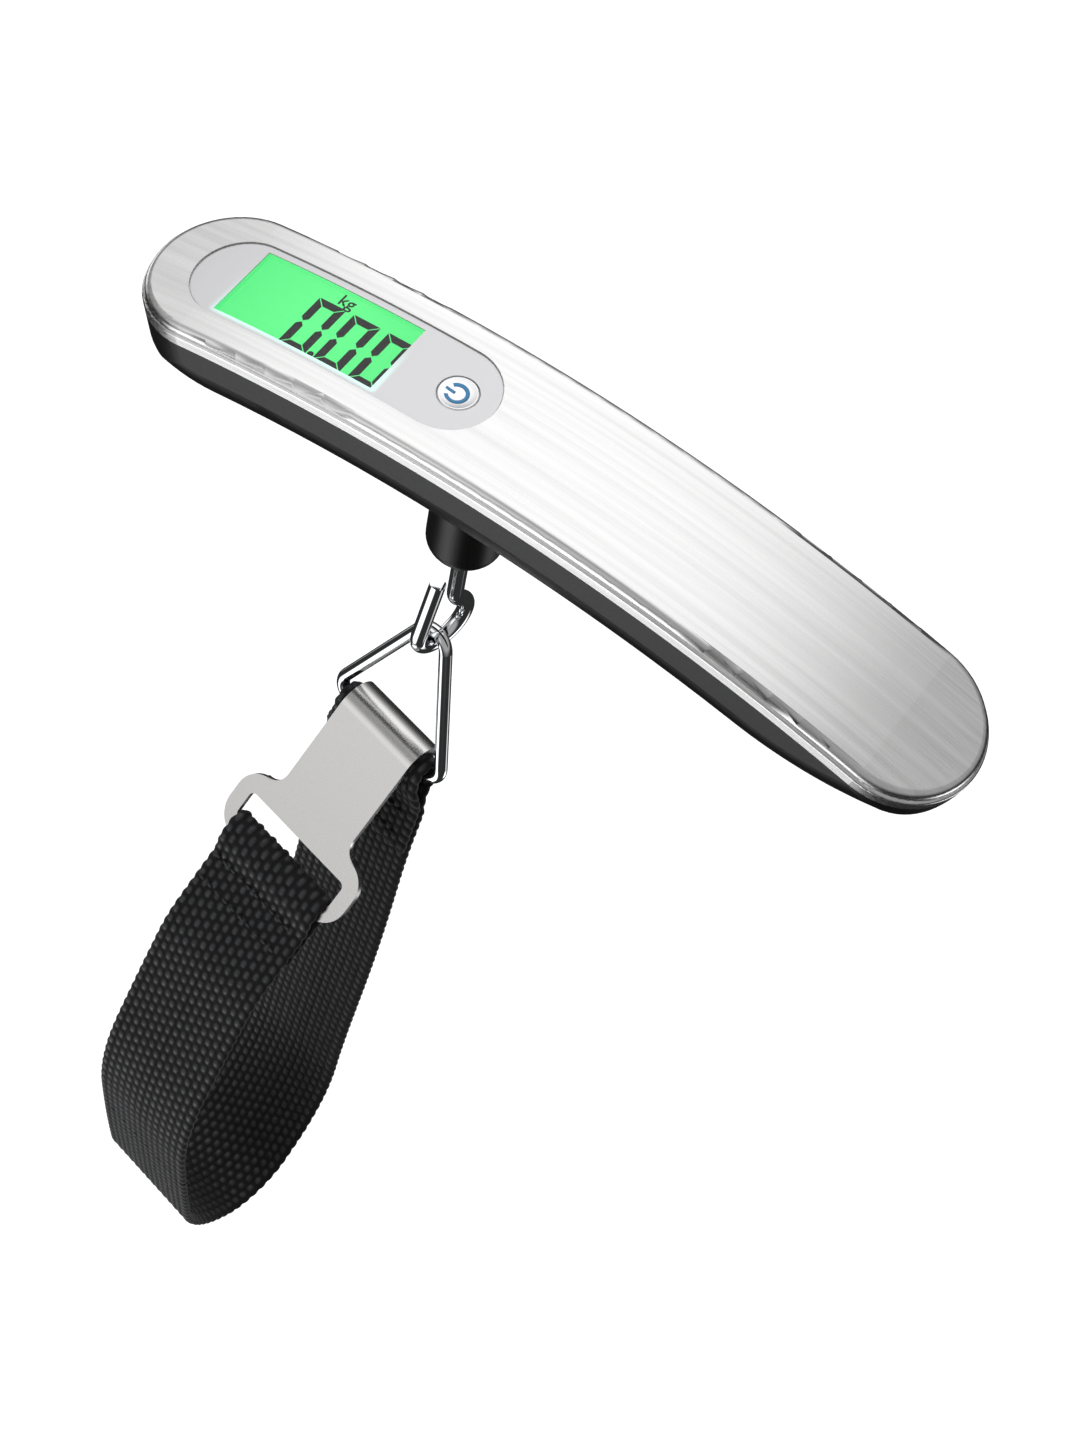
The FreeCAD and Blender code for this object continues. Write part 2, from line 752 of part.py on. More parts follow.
def make_ring():
    corners = [(0, 0, 0), (ring_base / 2, 0, ring_corner_bend), (0, ring_height, ring_apex_bend),
               (-ring_base / 2, 0, ring_corner_bend)]
    ring = rod(corners, ring_wire / 2, xz, True)
    ring.rotate(ORIGIN, V(1, 0, 0), -ring_swing)
    return twist(ring.translated(bar))


# ---------------------------------------------------------------- hook-on plate and webbing
lean = math.radians(plate_lean)
down = V(0, -math.sin(lean), -math.cos(lean))     # along the plate, away from the ring
out = V(0, -math.cos(lean), math.sin(lean))       # off the plate, towards the reader
eye_radius = ring_wire / 2 + eye_play + webbing_thick / 2
lip_radius = eye_radius + webbing_thick / 2 + lip_play + buckle_sheet / 2
wrap_offset = buckle_sheet / 2 + bar_play + webbing_thick / 2
layer_pitch = webbing_thick + layer_gap


def at_plate(off, along):
    """Point in the YZ plane, off the ring bar's centre and along the plate."""
    spot = bar + out * off + down * along
    return spot.y, spot.z


def make_buckle():
    past = math.radians(lip_wrap)
    step = lip_radius * math.tan(past / 2)
    end_off = -lip_radius * math.sin(past)
    end_along = -lip_radius * math.cos(past)
    side = [(*at_plate(lip_radius, buckle_length), 0), (*at_plate(lip_radius, -lip_radius), lip_radius),
            (*at_plate(-step, -lip_radius), lip_radius), (*at_plate(end_off, end_along), 0)]
    face = ribbon(side, buckle_sheet, yz)
    blank = face.extrude(V(buckle_width, 0, 0)).translated(V(-buckle_width / 2, 0, 0))
    neck = neck_width / 2
    wide = buckle_width / 2
    low = buckle_length
    top = -2 * lip_radius
    front = [(-neck, top, 0), (neck, top, 0), (neck, shoulder, 3.2), (wide, shoulder, 5.0),
             (wide, low, 5.5), (-wide, low, 5.5), (-wide, shoulder, 5.0), (-neck, shoulder, 3.2)]
    slot = [(-slot_width / 2, slot_top, 1.2), (slot_width / 2, slot_top, 1.2),
            (slot_width / 2, low - cross_bar, 1.2), (-slot_width / 2, low - cross_bar, 1.2)]
    stamp = outline(front, xy).extrude(V(0, 0, 40)).cut(outline(slot, xy).extrude(V(0, 0, 40)))
    stamp.translate(V(0, 0, -20))
    turn = FreeCAD.Placement()
    turn.Matrix = FreeCAD.Matrix(1, 0, 0, bar.x, 0, down.y, -out.y, bar.y, 0, down.z, -out.z, bar.z, 0, 0, 0, 1)
    stamp.Placement = turn.multiply(stamp.Placement)
    return twist(blank.common(stamp))


def front_fold():
    """Webbing centre line over the plate's cross bar, its sewn tail first."""
    inner = lip_radius - wrap_offset
    outer = lip_radius + wrap_offset
    fold = buckle_length - cross_bar - bar_play - webbing_thick / 2
    run = inner + layer_pitch
    tight = wrap_offset * 0.999
    return [(*at_plate(inner, fold + front_tail), 0), (*at_plate(inner, fold), tight),
            (*at_plate(outer, fold), tight), (*at_plate(outer, buckle_length + 0.6), 4.0),
            (*at_plate(run, buckle_length + 4.0), 4.0)]


back = math.radians(back_lean)
back_down = V(0, -math.sin(back), -math.cos(back))
back_out = V(0, -math.cos(back), math.sin(back))


def at_back(off, along):
    spot = bar + back_out * off + back_down * along
    return spot.y, spot.z


def eased(points):
    """Give each inner point of a limp run an arc as large as its two runs leave room for."""
    corners = [(*points[0], 0)]
    for before, here, after in zip(points, points[1:], points[2:]):
        a = V(here[0] - before[0], here[1] - before[1], 0)
        b = V(after[0] - here[0], after[1] - here[1], 0)
        reach = ease_share * min(a.Length, b.Length)
        corners.append((*here, reach / math.tan(a.getAngle(b) / 2)))
    return corners


def loop_corners():
    """The loop from the plate round the bottom to the back run, by offsets from the ring bar."""
    run = lip_radius - wrap_offset + layer_pitch
    points = [at_plate(run, buckle_split + split_gap), at_plate(run, loop_straight)]
    points += [(bar.y + y, bar.z + z) for y, z in loop_points]
    points += [at_back(-layer_pitch / 2, back_straight), at_back(-layer_pitch / 2, back_straight - 15.0)]
    return eased(points)[:-1]


def back_fold():
    """Webbing centre line up to the ring bar, round it and down its sewn tail."""
    pair = layer_pitch / 2
    tight = eye_radius * 0.999
    return [(*at_back(-pair, pair_closed), 6), (*at_back(-eye_radius, pair_apart), 4),
            (*at_back(-eye_radius, -eye_radius), tight), (*at_back(eye_radius, -eye_radius), tight),
            (*at_back(eye_radius, pair_apart), 4), (*at_back(pair, pair_closed), 6),
            (*at_back(pair, back_tail), 0)]


def webbing_solid(corners):
    face = ribbon(corners, webbing_thick, yz)
    return face.extrude(V(webbing, 0, 0)).translated(V(-webbing / 2, 0, 0))


def make_strap():
    strap = webbing_solid(loop_corners() + back_fold())
    for side in (-1, 1):
        edge = [(side * eye_width / 2, -9.0, 0), (side * webbing, -9.0, 0), (side * webbing, 13.0, 0),
                (side * webbing / 2, 13.0, 0), (side * eye_width / 2, 7.0, 0)]
        wedge = outline(edge, xy).extrude(V(0, 0, 24)).translated(V(0, 0, -12))
        turn = FreeCAD.Placement()
        turn.Matrix = FreeCAD.Matrix(1, 0, 0, bar.x, 0, back_down.y, -back_out.y, bar.y,
                                     0, back_down.z, -back_out.z, bar.z, 0, 0, 0, 1)
        wedge.Placement = turn.multiply(wedge.Placement)
        strap = strap.cut(wedge)
    return twist(strap)


def make_strap_end():
    run = lip_radius - wrap_offset + layer_pitch
    return twist(webbing_solid(front_fold() + [(*at_plate(run, buckle_split), 0)]))


# ---------------------------------------------------------------- write every piece
PIECES = {
    "top_cover": make_cover, "display_panel": make_panel, "display_window": make_window,
    "lcd_glass": make_glass, "backlight": make_backlight, "zebra_strips": make_zebra,
    "circuit_board": make_board, "chip_resin": make_chip, "tact_switch": make_switch,
    "power_button": make_button, "inner_frame": make_frame, "bottom_shell": make_shell,
    "board_screws": make_board_screws, "shell_screws": make_shell_screws,
    "load_cell": make_cell, "chassis_plate": make_chassis_plate, "load_cell_screws": make_cell_screws,
    "gauge_sealant": make_gauges, "load_cell_wires": make_cell_wires, "battery_wires": make_battery_wires,
    "coin_battery": make_coin, "battery_tray": make_tray, "contact_minus": make_contact_minus,
    "contact_plus": make_contact_plus, "battery_door": make_door, "door_pad": make_door_pad,
    "boss_bush": make_bush, "hook": make_hook, "hook_washer": make_washer, "hook_nut": make_nut,
    "triangle_ring": make_ring, "webbing_strap": make_strap, "strap_buckle": make_buckle,
    "webbing_end": make_strap_end,
}


def main():
    os.makedirs("parts", exist_ok=True)
    for name, make in PIECES.items():
        shape = make()
        if not shape.isValid():
            raise ValueError(name + " is not a valid solid")
        print(name, len(shape.Solids), "solid(s)", round(shape.Volume, 1), "mm3",
              [round(v, 1) for v in (shape.BoundBox.XMin, shape.BoundBox.XMax, shape.BoundBox.YMin,
                                     shape.BoundBox.YMax, shape.BoundBox.ZMin, shape.BoundBox.ZMax)])
        shape.exportStep("parts/" + name + ".step")


main()
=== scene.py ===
# %% [markdown]
# # A digital luggage scale
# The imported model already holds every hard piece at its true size: cover, shell, hook, ring, plate and what
# is inside. This lesson gives them the look of the real thing, and makes what a CAD model draws poorly: the
# lit display, the mark on the button, and above all the webbing, which is woven here stitch by stitch.

# %% Load the frame
import json
import math

import bmesh
import bpy
import numpy as np
from mathutils import Matrix, Vector


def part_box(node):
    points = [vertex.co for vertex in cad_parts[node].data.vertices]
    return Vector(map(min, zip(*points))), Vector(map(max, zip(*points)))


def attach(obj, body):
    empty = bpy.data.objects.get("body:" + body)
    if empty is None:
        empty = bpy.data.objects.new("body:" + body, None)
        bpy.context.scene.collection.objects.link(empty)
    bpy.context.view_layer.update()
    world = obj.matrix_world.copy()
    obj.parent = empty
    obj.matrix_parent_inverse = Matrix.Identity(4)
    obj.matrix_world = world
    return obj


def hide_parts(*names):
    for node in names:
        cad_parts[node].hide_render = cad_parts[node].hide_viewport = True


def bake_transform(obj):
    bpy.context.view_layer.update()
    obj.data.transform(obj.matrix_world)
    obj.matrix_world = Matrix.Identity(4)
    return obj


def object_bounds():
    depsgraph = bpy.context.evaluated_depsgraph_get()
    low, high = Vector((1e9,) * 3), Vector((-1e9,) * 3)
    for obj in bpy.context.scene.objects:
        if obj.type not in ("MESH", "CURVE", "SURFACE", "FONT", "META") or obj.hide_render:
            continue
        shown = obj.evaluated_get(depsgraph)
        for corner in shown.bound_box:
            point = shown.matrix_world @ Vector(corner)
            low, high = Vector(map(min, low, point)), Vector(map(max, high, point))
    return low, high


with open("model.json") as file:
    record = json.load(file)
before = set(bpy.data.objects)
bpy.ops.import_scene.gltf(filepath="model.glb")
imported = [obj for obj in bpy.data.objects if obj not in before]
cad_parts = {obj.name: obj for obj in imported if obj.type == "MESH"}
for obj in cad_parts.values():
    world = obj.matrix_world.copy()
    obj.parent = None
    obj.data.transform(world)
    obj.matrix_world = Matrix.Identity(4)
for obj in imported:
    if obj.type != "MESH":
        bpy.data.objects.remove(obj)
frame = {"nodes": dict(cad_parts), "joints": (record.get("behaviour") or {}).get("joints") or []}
cad_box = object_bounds()
nodes = frame["nodes"]
joints = {joint["name"]: joint for joint in frame["joints"]}
mm = 0.001

# %% [markdown]
# ## Camera
# The scale is seen from above and a little from its right, with the handle falling across the picture. A long
# lens keeps the far end of the handle from shrinking. The camera stands on a sphere round a point just under
# the handle: azimuth, elevation and distance place it, and roll leans it.

# %% Place the camera
look_at = Vector((32.0, -26.3, -22.6)) * mm
azimuth = math.radians(23.37)
elevation = math.radians(58.45)
roll = math.radians(13.46)
distance = 498.4 * mm

back = Vector((math.sin(azimuth) * math.cos(elevation), -math.cos(azimuth) * math.cos(elevation),
               math.sin(elevation)))
camera_data = bpy.data.cameras.new("camera")
camera_data.sensor_fit = "HORIZONTAL"
camera_data.sensor_width = 36
camera_data.lens = 106.67
camera = bpy.data.objects.new("camera", camera_data)
camera.matrix_world = (Matrix.Translation(look_at + back * distance)
                       @ back.to_track_quat("Z", "Y").to_matrix().to_4x4() @ Matrix.Rotation(roll, 4, "Z"))
bpy.context.scene.collection.objects.link(camera)
bpy.context.scene.camera = camera
print("camera", [round(v, 3) for v in camera.location])

# %% [markdown]
# ## Nodes for the materials
# Every finish below is a small network of nodes. One function adds a node, sets its values and joins its
# inputs; another turns the sRGB hex code of a colour into the linear numbers that a shader works in. A third
# makes the empty material with its shader, because all of them start that way. The others serve nearly
# every finish: a noise whose grain has a real size, and the roughness and the bump that it gives.

# %% Write the helpers
def linear(code):
    """The linear colour of an sRGB hex code such as "#C0C0C0"."""
    parts = [int(code[i:i + 2], 16) / 255 for i in (1, 3, 5)]
    colour = [c / 12.92 if c <= 0.04045 else ((c + 0.055) / 1.055) ** 2.4 for c in parts]
    return (*colour, 1.0)


def add(tree, kind, inputs=None, **settings):
    """Add a node, set its properties, then set or link its inputs."""
    node = tree.nodes.new(kind)
    for name, value in settings.items():
        setattr(node, name, value)
    for name, value in (inputs or {}).items():
        if isinstance(value, bpy.types.NodeSocket):
            tree.links.new(value, node.inputs[name])
        else:
            node.inputs[name].default_value = value
    return node


def material(name, **inputs):
    """A new material with one Principled shader, whose constant inputs are given by name."""
    made = bpy.data.materials.new(name)
    made.use_nodes = True
    tree = made.node_tree
    tree.nodes.clear()
    values = {key.replace("_", " "): value for key, value in inputs.items()}
    shader = add(tree, "ShaderNodeBsdfPrincipled", values)
    add(tree, "ShaderNodeOutputMaterial", {"Surface": shader.outputs["BSDF"]})
    return made, tree, shader


def own_place(tree):
    """The place of a point on its own object, in metres."""
    return add(tree, "ShaderNodeTexCoord").outputs["Object"]


def noise(tree, place, sizes, detail):
    """A noise from 0 to 1 whose grain has these sizes in millimetres, each way."""
    steps = add(tree, "ShaderNodeMapping", {"Vector": place, "Scale": [1 / (size * mm) for size in sizes]})
    grain = add(tree, "ShaderNodeTexNoise", {"Vector": steps.outputs[0], "Scale": 1.0, "Detail": detail})
    return grain.outputs[0]


def roughen(tree, shader, marks, low, high):
    """Let a noise move the roughness between two values."""
    rough = add(tree, "ShaderNodeMapRange", {"Value": marks, "From Min": 0.3, "From Max": 0.7,
                                             "To Min": low, "To Max": high})
    tree.links.new(rough.outputs[0], shader.inputs["Roughness"])


def emboss(tree, shader, marks, strength, depth):
    """Let a noise raise the surface by about this depth in millimetres."""
    bump = add(tree, "ShaderNodeBump", {"Height": marks, "Strength": strength, "Distance": depth * mm})
    tree.links.new(bump.outputs[0], shader.inputs["Normal"])


print("white is", linear("#FFFFFF"))

# %% [markdown]
# ## The handle's arch
# Everything on the handle, even the grain of the steel, follows one long arc. So a spot on it is given by how
# far along the arc it lies, how far to the side, and how high over the parting line between cover and shell.
# The function below turns those three into a place. The middle of the handle comes from the cover's box.

# %% Find places on the arch
arch_radius = 271 * mm
cover_low, cover_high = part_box("top_cover")
arch_middle = (cover_low.x + cover_high.x) / 2


def on_arch(along, side, height):
    """A place on the handle, in metres, from distances along the arch, sideways and outwards."""
    angle = along / arch_radius
    reach = arch_radius + height
    return Vector((arch_middle + reach * math.sin(angle), side, reach * math.cos(angle) - arch_radius))


def along_arch(x, height):
    """How far along the arch a place at x and this height lies."""
    return arch_radius * math.asin((x - arch_middle) / (arch_radius + height))


print("handle's middle at", round(arch_middle / mm, 2), "mm")

# %% [markdown]
# ## Brushed stainless steel
# The cover is pressed from thin stainless sheet and brushed with an abrasive belt along its length. The belt
# leaves fine parallel scratches, so a light is smeared across the grain and the surface breaks into light
# and dark threads where it turns away. Two noises stretched along the handle give that: a fine one for the
# scratches and a broad one for the streaks. Real scratches are near 0.05 mm wide and wouldn't show, so they
# are drawn at 0.28 mm. Both noises are measured along the handle's arc and not straight across it, or the
# streaks would run off the curved rim.

# %% Brush the cover
grain_width = 0.28
grain_length = 30.0
streak_width = 1.4
streak_length = 120.0
smooth_steel, rough_steel = 0.24, 0.36      # roughness between and on the scratches

steel, tree, shader = material("brushed_stainless", Metallic=1.0, Anisotropic=0.6)
hub = add(tree, "ShaderNodeMapping", {"Vector": own_place(tree),
                                      "Location": (-arch_middle, 0, arch_radius)})
spokes = add(tree, "ShaderNodeSeparateXYZ", {0: hub.outputs[0]})
angle = add(tree, "ShaderNodeMath", {0: spokes.outputs["X"], 1: spokes.outputs["Z"]}, operation="ARCTAN2")
along = add(tree, "ShaderNodeMath", {0: angle.outputs[0], 1: arch_radius}, operation="MULTIPLY")
flat = add(tree, "ShaderNodeVectorMath", {0: hub.outputs[0], 1: (1, 0, 1)}, operation="MULTIPLY")
spoke = add(tree, "ShaderNodeVectorMath", {0: flat.outputs[0]}, operation="LENGTH")
arch_place = add(tree, "ShaderNodeCombineXYZ", {"X": along.outputs[0], "Y": spokes.outputs["Y"],
                                                "Z": spoke.outputs["Value"]}).outputs[0]
scratches = noise(tree, arch_place, (grain_length, grain_width, grain_width), 3.0)
streaks = noise(tree, arch_place, (streak_length, streak_width, streak_width), 2.0)
both = add(tree, "ShaderNodeMath", {0: scratches, 1: streaks}, operation="ADD")
tone = add(tree, "ShaderNodeMapRange", {"Value": both.outputs[0], "From Min": 0.6, "From Max": 1.4})
colour = add(tree, "ShaderNodeMix", {"Factor": tone.outputs[0], "A": linear("#D2D2D1"),
                                     "B": linear("#F0F0EF")}, data_type="RGBA")
tree.links.new(colour.outputs["Result"], shader.inputs["Base Color"])
roughen(tree, shader, scratches, smooth_steel, rough_steel)
across_grain = add(tree, "ShaderNodeCombineXYZ", {"Y": 1.0})
tree.links.new(across_grain.outputs[0], shader.inputs["Tangent"])
emboss(tree, shader, scratches, 0.25, 0.02)
print("scratches", grain_width, "mm wide")

# %% [markdown]
# ## Polished and satin metals
# The hook and the ring are steel wire, bent and then chromium plated: almost a mirror, so they show the room
# as hard black and white lines. The hook-on plate is stamped steel, tumbled and nickel plated, which leaves
# an even satin. Screws and small inner parts are zinc plated, a little bluer and rougher. They differ in
# colour, roughness and the size of their grain, so one function makes them all.

# %% Plate the metals
plating_depth = 0.03


def metal(name, code, roughness, spread, grain):
    """A bare or plated metal: grain is the size of its marks in millimetres, spread their effect."""
    made, tree, shader = material(name, Metallic=1.0, Base_Color=linear(code))
    marks = noise(tree, own_place(tree), (grain, grain, grain), 4.0)
    roughen(tree, shader, marks, roughness - spread, roughness + spread)
    emboss(tree, shader, marks, spread, plating_depth)
    return made


chrome = metal("polished_chrome_plate", "#EEF0F2", 0.05, 0.02, 4.0)
nickel = metal("satin_nickel_plate", "#D9D8D6", 0.26, 0.03, 0.12)
zinc = metal("bright_zinc_plate", "#B9BDC1", 0.34, 0.08, 0.6)
machined = metal("machined_aluminium", "#C9CCD0", 0.36, 0.08, 0.5)
coin_can = metal("nickel_plated_can", "#D2D2CE", 0.22, 0.06, 1.2)
spring_brass = metal("spring_brass_strip", "#C9A75C", 0.28, 0.06, 0.8)
print("metals", [m.name for m in (chrome, nickel, zinc, machined, coin_can, spring_brass)])

# %% [markdown]
# ## Moulded plastics and rubbers
# The lower shell is black ABS from a spark-eroded mould, so it has a very fine even texture and a satin
# sheen. The panel and the button are moulded too, then sprayed silver. Inner parts are plain mouldings.
# The grain of the mould is about 0.1 mm on the shell and drawn at 0.35 mm so that it breaks the highlight.

# %% Mould the plastics
mould_depth = 0.05
mould_spread = 0.05


def moulded(name, code, roughness, grain=0.35, depth=0.2, **inputs):
    """A moulded surface: grain in millimetres, depth of its texture from 0 to 1."""
    made, tree, shader = material(name, Base_Color=linear(code), **inputs)
    pores = noise(tree, own_place(tree), (grain, grain, grain), 3.0)
    roughen(tree, shader, pores, roughness - mould_spread, roughness + mould_spread)
    emboss(tree, shader, pores, depth, mould_depth)
    return made


black_abs = moulded("satin_black_abs", "#0B0B0A", 0.34, IOR=1.54, Specular_IOR_Level=0.4)
plain_abs = moulded("natural_abs_frame", "#C9C7C0", 0.5, IOR=1.54)
black_tray = moulded("black_polypropylene", "#1A1A1A", 0.45, IOR=1.49)
acetal = moulded("black_acetal_bush", "#161616", 0.3, IOR=1.48)
laminate = moulded("green_solder_mask", "#14482A", 0.3, 1.5, 0.05, IOR=1.5)
resin = moulded("poured_black_epoxy", "#0A0A0A", 0.22, 2.0, 0.1, IOR=1.55)
silicone = moulded("white_silicone_sealant", "#D8D7D0", 0.4, 2.5, 0.5, IOR=1.41)
jacket = moulded("red_pvc_wire", "#8E1B16", 0.4, 1.0, 0.1, IOR=1.53)
foam = moulded("black_foam", "#1C1C1C", 0.9, 0.6, 1.0, IOR=1.5)
zebra = moulded("striped_rubber", "#B7B4A5", 0.6, 0.3, 0.3, IOR=1.45)
guide = moulded("milky_light_guide", "#DDF3E2", 0.35, 1.5, 0.05, IOR=1.49)
cell_glass = moulded("display_cell_glass", "#A9B5A6", 0.12, 3.0, 0.02, IOR=1.52)
print("plastics made, the shell is", black_abs.name)

# %% [markdown]
# ## Making a piece
# Every new piece ends the same way: its faces are turned outwards, it is shaded smooth, given its material
# and, where a part is named, hung on the part of the scale that it moves with. Prints and films start as flat
# drawings, because letters and bars are easy to draw flat, and are then given a thickness and bent on to the
# handle.

# %% Finish and lay a piece
def finished(name, bm, look, body, slot):
    """Turn a bmesh into a piece, which rides on a body where one is given."""
    bmesh.ops.recalc_face_normals(bm, faces=bm.faces)
    mesh = bpy.data.meshes.new(name)
    bm.to_mesh(mesh)
    bm.free()
    mesh.polygons.foreach_set("use_smooth", [True] * len(mesh.polygons))
    mesh.materials.append(look)
    piece = bpy.data.objects.new(name, mesh)
    bpy.context.scene.collection.objects.link(piece)
    if body:
        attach(piece, body)
    return piece


def lay(bm, thickness, place):
    """Give a flat drawing a thickness and set each of its points with place(x, y, height)."""
    top = bmesh.ops.extrude_face_region(bm, geom=bm.faces[:])
    raised = [v for v in top["geom"] if isinstance(v, bmesh.types.BMVert)]
    bmesh.ops.translate(bm, vec=(0, 0, thickness), verts=raised)
    for vert in bm.verts:
        vert.co = place(vert.co.x, vert.co.y, vert.co.z)


print("helpers", finished.__name__, lay.__name__)

# %% [markdown]
# ## The lit display
# Under the clear window lies a film that the backlight turns an even mint green, and the digits are dark
# patches in it. The film is a grid laid on the arch, a hair under the window. It gives off its own light, a
# little stronger in the middle, as a light guide with its lamp at one side does.

# %% Light the film
window_low, window_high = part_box("display_window")
film_height = 2.2 * mm
film_thickness = 0.04 * mm
window_centre = (window_low.x + window_high.x) / 2
window_middle = along_arch(window_centre, 3 * mm)
window_length = 30.9 * mm
window_width = window_high.y - window_low.y
fade_reach = 18 * mm

glow, tree, shader = material("backlit_polariser", Base_Color=linear("#04140A"), Roughness=0.4, IOR=1.5,
                              Specular_IOR_Level=0.0)
centre = add(tree, "ShaderNodeMapping", {"Vector": own_place(tree), "Location": (-window_centre, 0, 0)})
ball = add(tree, "ShaderNodeVectorMath", {0: centre.outputs[0], 1: (1, 1, 0)}, operation="MULTIPLY")
reach = add(tree, "ShaderNodeVectorMath", {0: ball.outputs[0]}, operation="LENGTH")
fade = add(tree, "ShaderNodeMapRange", {"Value": reach.outputs["Value"], "From Min": 0.0,
                                        "From Max": fade_reach, "To Min": 0.0, "To Max": 1.0})
light = add(tree, "ShaderNodeMix", {"Factor": fade.outputs[0], "A": linear("#4CFF86"),
                                    "B": linear("#38F27A")}, data_type="RGBA")
tree.links.new(light.outputs["Result"], shader.inputs["Emission Color"])
shader.inputs["Emission Strength"].default_value = 1.0


def on_film(x, y, h):
    """A place over the window's middle, at this height above the film's lower face."""
    return on_arch(window_middle + x, y, film_height + h)


bm = bmesh.new()
bmesh.ops.create_grid(bm, x_segments=24, y_segments=6, size=0.5)
bmesh.ops.scale(bm, vec=(window_length, window_width, 1), verts=bm.verts)
lay(bm, film_thickness, on_film)
finished("display_film", bm, glow, "handle", "window_plastic")
print("film", round(window_length / mm, 1), "x", round(window_width / mm, 1), "mm")

# %% [markdown]
# ## Digits
# The readout has three seven-segment digits. A zero lights six of the segments. Each is a flat bar whose ends
# are mitred where two bars meet at a corner and pointed where they meet half way, and a thin gap keeps it
# from its neighbour. The bars are drawn as flat faces. They are sliced across so that they can follow the
# arch, and the readout is cut along the film's edges, as the last digit is on the real display. The places of
# the digits, the decimal point and the unit are shares of the window's length and width.

# %% Draw the segments
digit_height = 11.3 * mm
digit_width = 5.2 * mm
bar_width = 1.4 * mm
bar_gap = 0.12 * mm
digit_starts = (0.405, 0.622, 0.84)
digit_top = 0.225
point_radius = 0.55 * mm
point_spot = (0.598, 0.95)
slices = 25
film_edge = 0.495           # the readout ends a hair inside the film's edge
ink_thickness = 0.02 * mm
ink_lift = 0.005 * mm


def in_window(along, down):
    """A flat place from shares of the window's length and width, counted from its first corner."""
    return Vector(((along - 0.5) * window_length, (0.5 - down) * window_width, 0))


def on_ink(x, y, h):
    """A place on top of the film, where the ink lies."""
    return on_film(x, y, film_thickness + ink_lift + h)


def bar(bm, start, end, inward, mitred):
    """A bar along the digit's outline from a corner to the next corner, or to half way if not mitred."""
    a, b, deep = Vector((*start, 0)), Vector((*end, 0)), Vector((*inward, 0)) * bar_width
    way = (b - a).normalized()
    a += way * bar_gap
    b -= way * bar_gap
    step = way * bar_width
    tip = [b, b - step + deep] if mitred else [b - step / 2, b + deep / 2, b - step / 2 + deep]
    bm.faces.new([bm.verts.new(c) for c in (a, *tip, a + step + deep)])


bm = bmesh.new()
for start in digit_starts:
    left, top, _ = in_window(start, digit_top)
    right = left + digit_width
    low = top - digit_height
    middle = (top + low) / 2
    bar(bm, (left, top), (right, top), (0, -1), True)
    bar(bm, (left, low), (right, low), (0, 1), True)
    for y in (top, low):
        bar(bm, (left, y), (left, middle), (1, 0), False)
        bar(bm, (right, y), (right, middle), (-1, 0), False)
bmesh.ops.create_circle(bm, cap_ends=True, segments=16, radius=point_radius,
                        matrix=Matrix.Translation(in_window(*point_spot)))
cuts = [((x, 0, 0), (1, 0, 0), False) for x in np.linspace(-0.5, 0.5, slices) * window_length]
cuts += [((film_edge * window_length, 0, 0), (1, 0, 0), True),
         ((0, -film_edge * window_width, 0), (0, -1, 0), True)]
for spot, facing, trim in cuts:
    bmesh.ops.bisect_plane(bm, geom=bm.verts[:] + bm.edges[:] + bm.faces[:], plane_co=spot, plane_no=facing,
                           clear_outer=trim)
lay(bm, ink_thickness, on_ink)
ink = moulded("liquid_crystal_segment", "#010302", 0.4, 1.0, 0.02, IOR=1.5, Specular_IOR_Level=0.0)
digits = finished("display_digits", bm, ink, "handle", "window_plastic")
print("digits", len(digits.data.polygons), "faces")

# %% [markdown]
# ## The unit
# The small unit over the digits is plain lettering. Text is a curve in Blender, so it is turned into a flat
# mesh, its doubled points are merged, and it is laid on the film like the digits.

# %% Letter the unit
unit_spot = (0.545, 0.125)
letters = bpy.data.curves.new("unit", "FONT")
letters.body = "kg"
letters.size = 3.2 * mm
letters.offset = 0.045 * mm         # a little bolder
letters.align_x = "CENTER"
letters.align_y = "CENTER"
text = bpy.data.objects.new("unit", letters)
bm = bmesh.new()
bm.from_mesh(bpy.data.meshes.new_from_object(text))
bpy.data.objects.remove(text)
bmesh.ops.remove_doubles(bm, verts=bm.verts, dist=0.001 * mm)
bmesh.ops.translate(bm, vec=in_window(*unit_spot), verts=bm.verts)
lay(bm, ink_thickness, on_ink)
unit = finished("display_unit", bm, ink, "handle", "window_plastic")
unit.data.polygons.foreach_set("use_smooth", [False] * len(unit.data.polygons))
print("unit", len(unit.data.polygons), "faces")

# %% [markdown]
# ## The clear window
# The window is polished acrylic: colourless and smooth. A coating takes most of its gloss, so that the digits
# stay black under a lamp.

# %% Clear the window
acrylic = moulded("clear_acrylic", "#F4FFF8", 0.06, 3.0, 0.01, IOR=1.49, Transmission_Weight=1.0,
                  Specular_IOR_Level=0.1)
print("window", acrylic.name)

# %% [markdown]
# ## Silver paint
# The panel is grey plastic sprayed with silver lacquer, whose metal flakes give it a soft, milky gloss. The
# button has more silver and a harder shine, because it is lacquered over a smoother moulding.

# %% Spray the panel
flake_size = 0.2
flake_spread = 0.07


def silver_paint(name, metallic, roughness):
    """Silver lacquer: partly metallic, with flakes about 0.1 mm that are drawn at 0.2 mm."""
    made, tree, shader = material(name, Base_Color=linear("#F4F4F5"), Metallic=metallic, IOR=1.5,
                                  Coat_Weight=0.2, Coat_Roughness=0.15)
    flakes = noise(tree, own_place(tree), (flake_size, flake_size, flake_size), 2.0)
    roughen(tree, shader, flakes, roughness - flake_spread, roughness + flake_spread)
    return made, tree, shader


panel_paint, tree, shader = silver_paint("silver_lacquer_on_abs", 0.28, 0.37)
button_paint = silver_paint("silver_lacquer_button", 0.75, 0.22)[0]
print("paints", panel_paint.name, button_paint.name)

